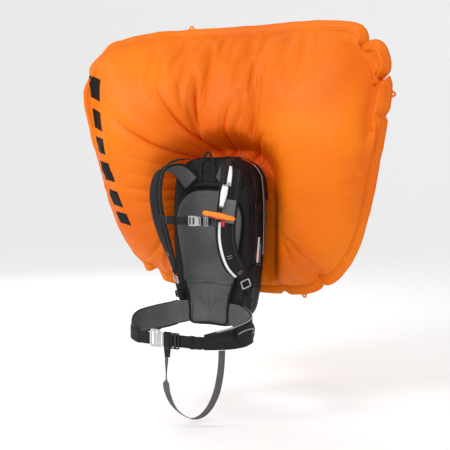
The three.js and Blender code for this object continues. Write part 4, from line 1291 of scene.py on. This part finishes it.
def make_belt_webbing():
    black = "black_webbing"
    for name, line, width, thickness, steps, look, body, ripple, replaces in (
        ("hip_webbing_right_strap", [(-118, -242, -75), (-92, -249, -75), (-72, -250, -75)],
         0.038, 0.002, 24, black, "belt_right", 0.0005, "hip_webbing_right"),
        ("hip_webbing_left_strap", [(118, -243, -75), (90, -250, -75), (40, -252, -75), (-18, -251.5, -75)],
         0.038, 0.002, 60, black, "belt_left", 0.0006, "hip_webbing_left"),
        ("hip_webbing_tail", [(75, -253.8, -75), (86, -253.2, -75.5), (99, -251.2, -76), (112, -247.5, -77)],
         0.0375, 0.0018, 30, black, "belt_left", 0.0008, None),
        ("hip_keeper", [(76, -252.6, -75), (82, -252.2, -75), (88, -251.6, -75)],
         0.0415, 0.0062, 6, "binding", "belt_left", 0.0, None),
    ):
        flat_webbing(name, line, width, thickness, steps, look, body, ripple, replaces)


def keeper_width(t):
    return 0.0225 - 0.006 * max(0, t - 0.62) / 0.38


def make_strap_keeper():
    """A sewn sleeve round the belt webbing, with a narrow waist."""
    body, x, y = "belt_left", -0.007, -0.2515
    for name, depths, ripple, replaces in (
        ("front", (-255.2, -255.6, -254.8, -252.5), 0.0004, "leg_strap_keeper"),
        ("rear", (-248.2, -247.8, -248.4, -250.5), 0.0, None),
    ):
        line = list(zip([x * 1000] * 4, depths, (-51, -75, -100, -128.5)))
        flat_webbing(f"leg_strap_keeper_{name}", line, keeper_width, 0.0018, 40, "black_webbing", body,
                     ripple, replaces)
    for name, z, half in (("top", -0.0515, 0.0105), ("bottom", -0.127, 0.008)):
        loop = [(x - half, y, z), (x - half, y - 0.0035, z), (x + half, y - 0.0035, z), (x + half, y, z),
                (x + half, y + 0.0032, z), (x - half, y + 0.0032, z)]
        tube(f"leg_strap_keeper_{name}", loop, 0.0014, "black_webbing", body, closed=True)
    rows = [[((x + a, depth, z), FRONT) for a in np.linspace(-0.009, 0.009, 7)]
            for z, depth in ((-0.0985, -0.2566), (-0.101, -0.2558))]
    stitched("leg_strap_keeper_tacks", rows, 0.0022, 0.0004, 0.0006, body=body, slot="black_webbing")


# ---------------------------------------------------------------- trigger
HANDLE_CENTRE = np.array((0.125, -0.162, 0.306))
HANDLE_UP = unit((math.tan(math.radians(9)), 0, 1))
HANDLE_LONG = unit(np.cross(HANDLE_UP, (0, 1, 0)))
HANDLE_HALF = 0.0572


def squared(value):
    """Turns a sine or cosine into a rounded square's."""
    return math.copysign(abs(value) ** 0.6, value)


def make_trigger_handle():
    """A T-shaped grip: a waisted bar with flared ends, finger ribs and a lower face painted darker red as
    shade.
    """
    steps, around = 44, 24
    rings = []
    for i in range(steps + 1):
        share = -1 + 2 * i / steps
        tip = max(0.05, (1 - abs(share) ** 9) ** 0.5)
        rib = 0.0004 * math.cos(share * 46) * (1 if 0.3 < abs(share) < 0.8 else 0)
        half_tall = (0.0094 + 0.0012 * math.cos(share * 5.2) - 0.0022 * max(0, -share) ** 3 + rib) * tip
        half_deep = (0.0082 + rib) * tip
        centre = HANDLE_CENTRE + HANDLE_LONG * share * HANDLE_HALF + HANDLE_UP * (0.0010 * share**2 - 0.0006)
        turns = [2 * math.pi * k / around for k in range(around)]
        rings.append([centre + HANDLE_UP * squared(math.sin(a)) * half_tall
                      + np.array(FRONT) * squared(math.cos(a)) * half_deep for a in turns])
    grip = make_piece("trigger_grip", loft(rings), ["orange_plastic", "painted_shade_plastic"], "trigger",
                      replaces="trigger_handle")
    # The lower faces take the darker red as painted shade.
    for polygon in grip.data.polygons:
        if (polygon.center - Vector(HANDLE_CENTRE)).dot(Vector(HANDLE_UP)) < -0.0048:
            polygon.material_index = 1
    # A raised boss carries the screw over the cable's socket.
    boss = []
    turns = [2 * math.pi * k / 28 for k in range(28)]
    for radius, y in mm([(7.5, -6.6), (7.5, -8.2), (6.8, -9.2), (4.2, -9.2), (3.6, -8.0)]):
        boss.append([HANDLE_CENTRE + np.array((math.cos(a) * radius, y, math.sin(a) * radius))
                     for a in turns])
    make_piece("trigger_boss", loft(boss), "orange_plastic", "trigger")


def make_safety_tag():
    route = Route(mm([(137, -155.5, 292), (137, -157, 287), (137, -157.4, 280), (136.5, -156.6, 273)]), FRONT)
    tag = swept("safety_tag_strip", route, 0.0098, 0.0011, 16, "red_fabric", "safety_tag", ripple=0.0006,
                replaces="safety_tag")
    add_subdivision(tag)


def sleeve_swell(t):
    return 0.0075 * math.sin(math.pi * min(1, t + 0.15))


def make_handle_pocket():
    """The white neoprene sleeve over the cable, wider towards its open lower end."""
    top, end = np.array((0.131, -0.1285, 0.400)), np.array((0.118, -0.1335, 0.331))
    facing = (0.12, -1, -0.08)
    route = Route([top, top * 0.66 + end * 0.34, top * 0.34 + end * 0.66, end], facing)
    section = pillow_section(14, 0.3)
    swept("handle_pocket_sleeve", route, lambda t: 0.0135 + sleeve_swell(t), 0.0080, 50, "white_fabric",
          section=section, replaces="handle_pocket")
    for name, t in (("upper", 0.03), ("lower", 0.97)):
        hem = Route([route.at(t - 0.02), route.at(t), route.at(t + 0.02)], facing)
        swept(f"handle_pocket_hem_{name}", hem, 0.0140 + sleeve_swell(t), 0.0088, 4, "patch_grey",
              slot="white_fabric", section=section)


# ---------------------------------------------------------------- hip belt
# Stations of the belt's bands: x and y of the middle line, then the upper and the lower edge's z.
WING_ROOT = (0.1005, 0.0002, 0.007, -0.069)
WING_STATIONS = [
    (0.1136, -0.0028, 0.006, -0.072), (0.142, -0.014, -0.002, -0.082), (0.184, -0.058, -0.012, -0.092),
    (0.202, -0.118, -0.020, -0.096), (0.184, -0.176, -0.032, -0.097), (0.150, -0.216, -0.042, -0.096),
    (0.116, -0.240, -0.052, -0.095),
]
LUMBAR_STATIONS = [
    (0.062, 0.0035, 0.008, -0.058), (0.088, 0.0015, 0.008, -0.066), (0.0995, 0.0004, 0.007, -0.069),
]
HIP_Z = -0.075


def make_belt_band(name, stations, sign, steps, taper, replaces=None):
    """A padded band with a grey wearer face and a black outer face. Returns the piece and its frames."""
    centre = Curve([(sign * x, y, 0) for x, y, _, _ in stations], spread=True)
    edges = Curve([(top, bottom, 0) for _, _, top, bottom in stations], spread=True)
    section = pillow_section(20, 0.3)
    rings, frames = [], []
    for i in range(steps + 1):
        t = i / steps
        point, tangent = centre.at(t), centre.tangent(t)
        top, bottom, _ = edges.at(t)
        outward = unit((-tangent[1] * sign, tangent[0] * sign, 0))
        half = 0.0054 * (1 - 0.6 * max(0, (t - 0.75) / 0.25) * taper)
        middle, tall = (top + bottom) / 2, (top - bottom) / 2
        frames.append((point, outward, top, bottom, half))
        ring = []
        for across, up in section:
            channels = 0.32 * bell(across - 0.30, 0.05) + 0.32 * bell(across + 0.38, 0.05)
            place = point + outward * half * up * (1 - channels if up < 0 else 1)
            ring.append(np.array((place[0], place[1], middle + tall * across)))
        rings.append(ring)
    band = make_piece(name, loft(rings), ["black_fabric", "grey_foam"], None, replaces=replaces)
    paint_inner(band, steps, len(section), 20)
    return band, frames


def belt_edge(name, frames, top, radius, look, body, out=0.0):
    places = [(point + outward * out, high if top else low) for point, outward, high, low, _ in frames]
    tube(name, [(p[0], p[1], z) for p, z in places], radius, look, body)


def make_belt():
    for side, sign in SIDES.items():
        body, name = f"belt_{side}", f"hip_wing_{side}"
        wing, frames = make_belt_band(f"{name}_pad", [WING_ROOT] + WING_STATIONS, sign, 84, 1, name)
        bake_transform(wing)
        root, _ = make_belt_band(f"lumbar_wing_{side}", LUMBAR_STATIONS, sign, 12, 0)
        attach(root, "pack")
        belt_edge(f"{name}_top_binding", frames[14:], True, 0.0024, "binding", body)
        belt_edge(f"{name}_bottom_binding", frames[14:], False, 0.0024, "binding", body)
        if side == "left":
            belt_edge(f"{name}_piping", frames[18:74], True, 0.0019, "light_piping", body, 0.0030)
        lines = []
        for edge in (0.94, 0.06):
            lines.append([((*(point + outward * half)[:2], low + (high - low) * edge), outward)
                          for point, outward, high, low, half in frames[14:]])
        stitched(f"{name}_stitching", lines, body=body)
        # The belt's webbing lies sewn along the outer face.
        line = [((*(point + outward * (half + 0.0016))[:2], HIP_Z), outward)
                for point, outward, _, _, half in frames[30:]]
        route = Route(*zip(*(line[:-1:6] + [line[-1]])))
        swept(f"{name}_webbing", route, 0.038, 0.0018, 70, body=body)


def pocket_width(t):
    return 0.056 - 0.030 * (2 * t - 1) ** 4


def make_hip_pocket():
    """A low zipped pocket on the left wing."""
    body = "belt_left"
    wing = Curve([(x, y, 0) for x, y, _, _ in WING_STATIONS])
    points, facings = [], []
    for t in (0.42, 0.5, 0.58, 0.66):
        point, tangent = wing.at(t), wing.tangent(t)
        outward = np.array((-tangent[1], tangent[0], 0))
        points.append((*(point + outward * 0.011)[:2], -0.054))
        facings.append(outward)
    route = Route(points, facings)
    swept("hip_pocket_cover", route, pocket_width, 0.0080, 50, "black_fabric", body,
          section=pillow_section(20, 0.25), ripple=0.0008, replaces="hip_pocket")
    arc = [route.at(t, 0.012 - 0.012 * (2 * t - 1) ** 2, 0.0042) for t in np.linspace(0.06, 0.94, 30)]
    tube("hip_pocket_zip_tape", arc, 0.0016, "light_piping", body)
    edge = [route.at(t, pocket_width(t) / 2 * 0.97) for t in np.linspace(0, 1, 40)]
    edge += [route.at(t, -pocket_width(t) / 2 * 0.97) for t in np.linspace(1, 0, 40)]
    tube("hip_pocket_piping", edge, 0.0020, body=body, closed=True)


def make_side_straps():
    """Compression straps across the side walls with a moulded buckle socket."""
    z = 0.322
    for side, sign in SIDES.items():
        depths = (0.014, 0.036, 0.058, 0.080, 0.102)
        points = [(sign * (pack_side_x(z, d) + 0.0019), PACK_FRONT_Y + d, z) for d in depths]
        swept(f"side_strap_{side}_webbing", Route(points, (sign, 0, 0)), 0.020, 0.0016, 40,
              replaces=f"side_strap_{side}")
        outside = pack_side_x(z, 0.06) + 0.0062
        rings = []
        for y, tall, low, high in ((0.0405, 0.0105, -0.003, 0.0028), (0.042, 0.0128, -0.004, 0.0038),
                                   (0.052, 0.0120, -0.004, 0.004), (0.064, 0.0130, -0.004, 0.0038),
                                   (0.066, 0.0124, -0.0034, 0.0032)):
            rings.append([(sign * (outside + (low + high) / 2 + b * (high - low) / 2), y, z + a * tall)
                          for a, b in WEBBING_SECTION])
        add_subdivision(make_piece(f"side_buckle_socket_{side}", loft(rings), "black_plastic"))


# ---------------------------------------------------------------- studio
def make_stage():
    """A pale floor that curves up into a backdrop."""
    width, floor_z = 14, -0.345
    profile = [(-6, 0), (-3, 0), (0, 0), (3, 0), (5, 0), (6.4, 0.25), (7.4, 1.0), (7.9, 2.2), (8, 4), (8, 9)]
    rings = [[(x, y, floor_z + z) for x in (-width, -width / 2, 0, width / 2, width)] for y, z in profile]
    stage = make_piece("stage", loft(rings, closed=False, caps="none"), "stage", None)
    add_subdivision(stage, 2)


def add_light(name, location, target, size, energy):
    lamp = bpy.data.lights.new(name, "AREA")
    lamp.shape = "DISK"
    lamp.size = size
    lamp.energy = energy
    holder = bpy.data.objects.new(name, lamp)
    holder.location = location
    holder.rotation_mode = "QUATERNION"
    holder.rotation_quaternion = (Vector(target) - Vector(location)).to_track_quat("-Z", "Y")
    bpy.context.scene.collection.objects.link(holder)


def light_studio():
    world = bpy.data.worlds.new("studio")
    world.use_nodes = True
    background = world.node_tree.nodes["Background"]
    background.inputs["Color"].default_value = (1, 1, 1, 1)
    background.inputs["Strength"].default_value = 0.86
    bpy.context.scene.world = world
    add_light("key", (-1.6, -2.6, 2.3), (0, 0.05, 0.4), 1.2, 56)
    add_light("fill", (2.6, -2.0, 1.0), (0.1, 0, 0.2), 1.6, 12)
    add_light("back_left", (-2.2, 1.8, 1.8), (0, 0.1, 0.4), 1.5, 26)
    bpy.context.scene.view_settings.view_transform = "Standard"


place_camera()
dress_cad_nodes()
make_leg_strap()
make_airbag()
make_pack_cover()
make_back_sheet()
make_side_details()
make_side_marks()
make_main_zip()
make_pads()
make_haul_loop()
make_burst_flap()
make_harness()
make_left_strap_trim()
make_chest_strap()
make_trigger_handle()
make_safety_tag()
make_handle_pocket()
make_belt()
make_belt_webbing()
make_hip_pocket()
make_strap_keeper()
make_side_straps()
make_stage()
light_studio()
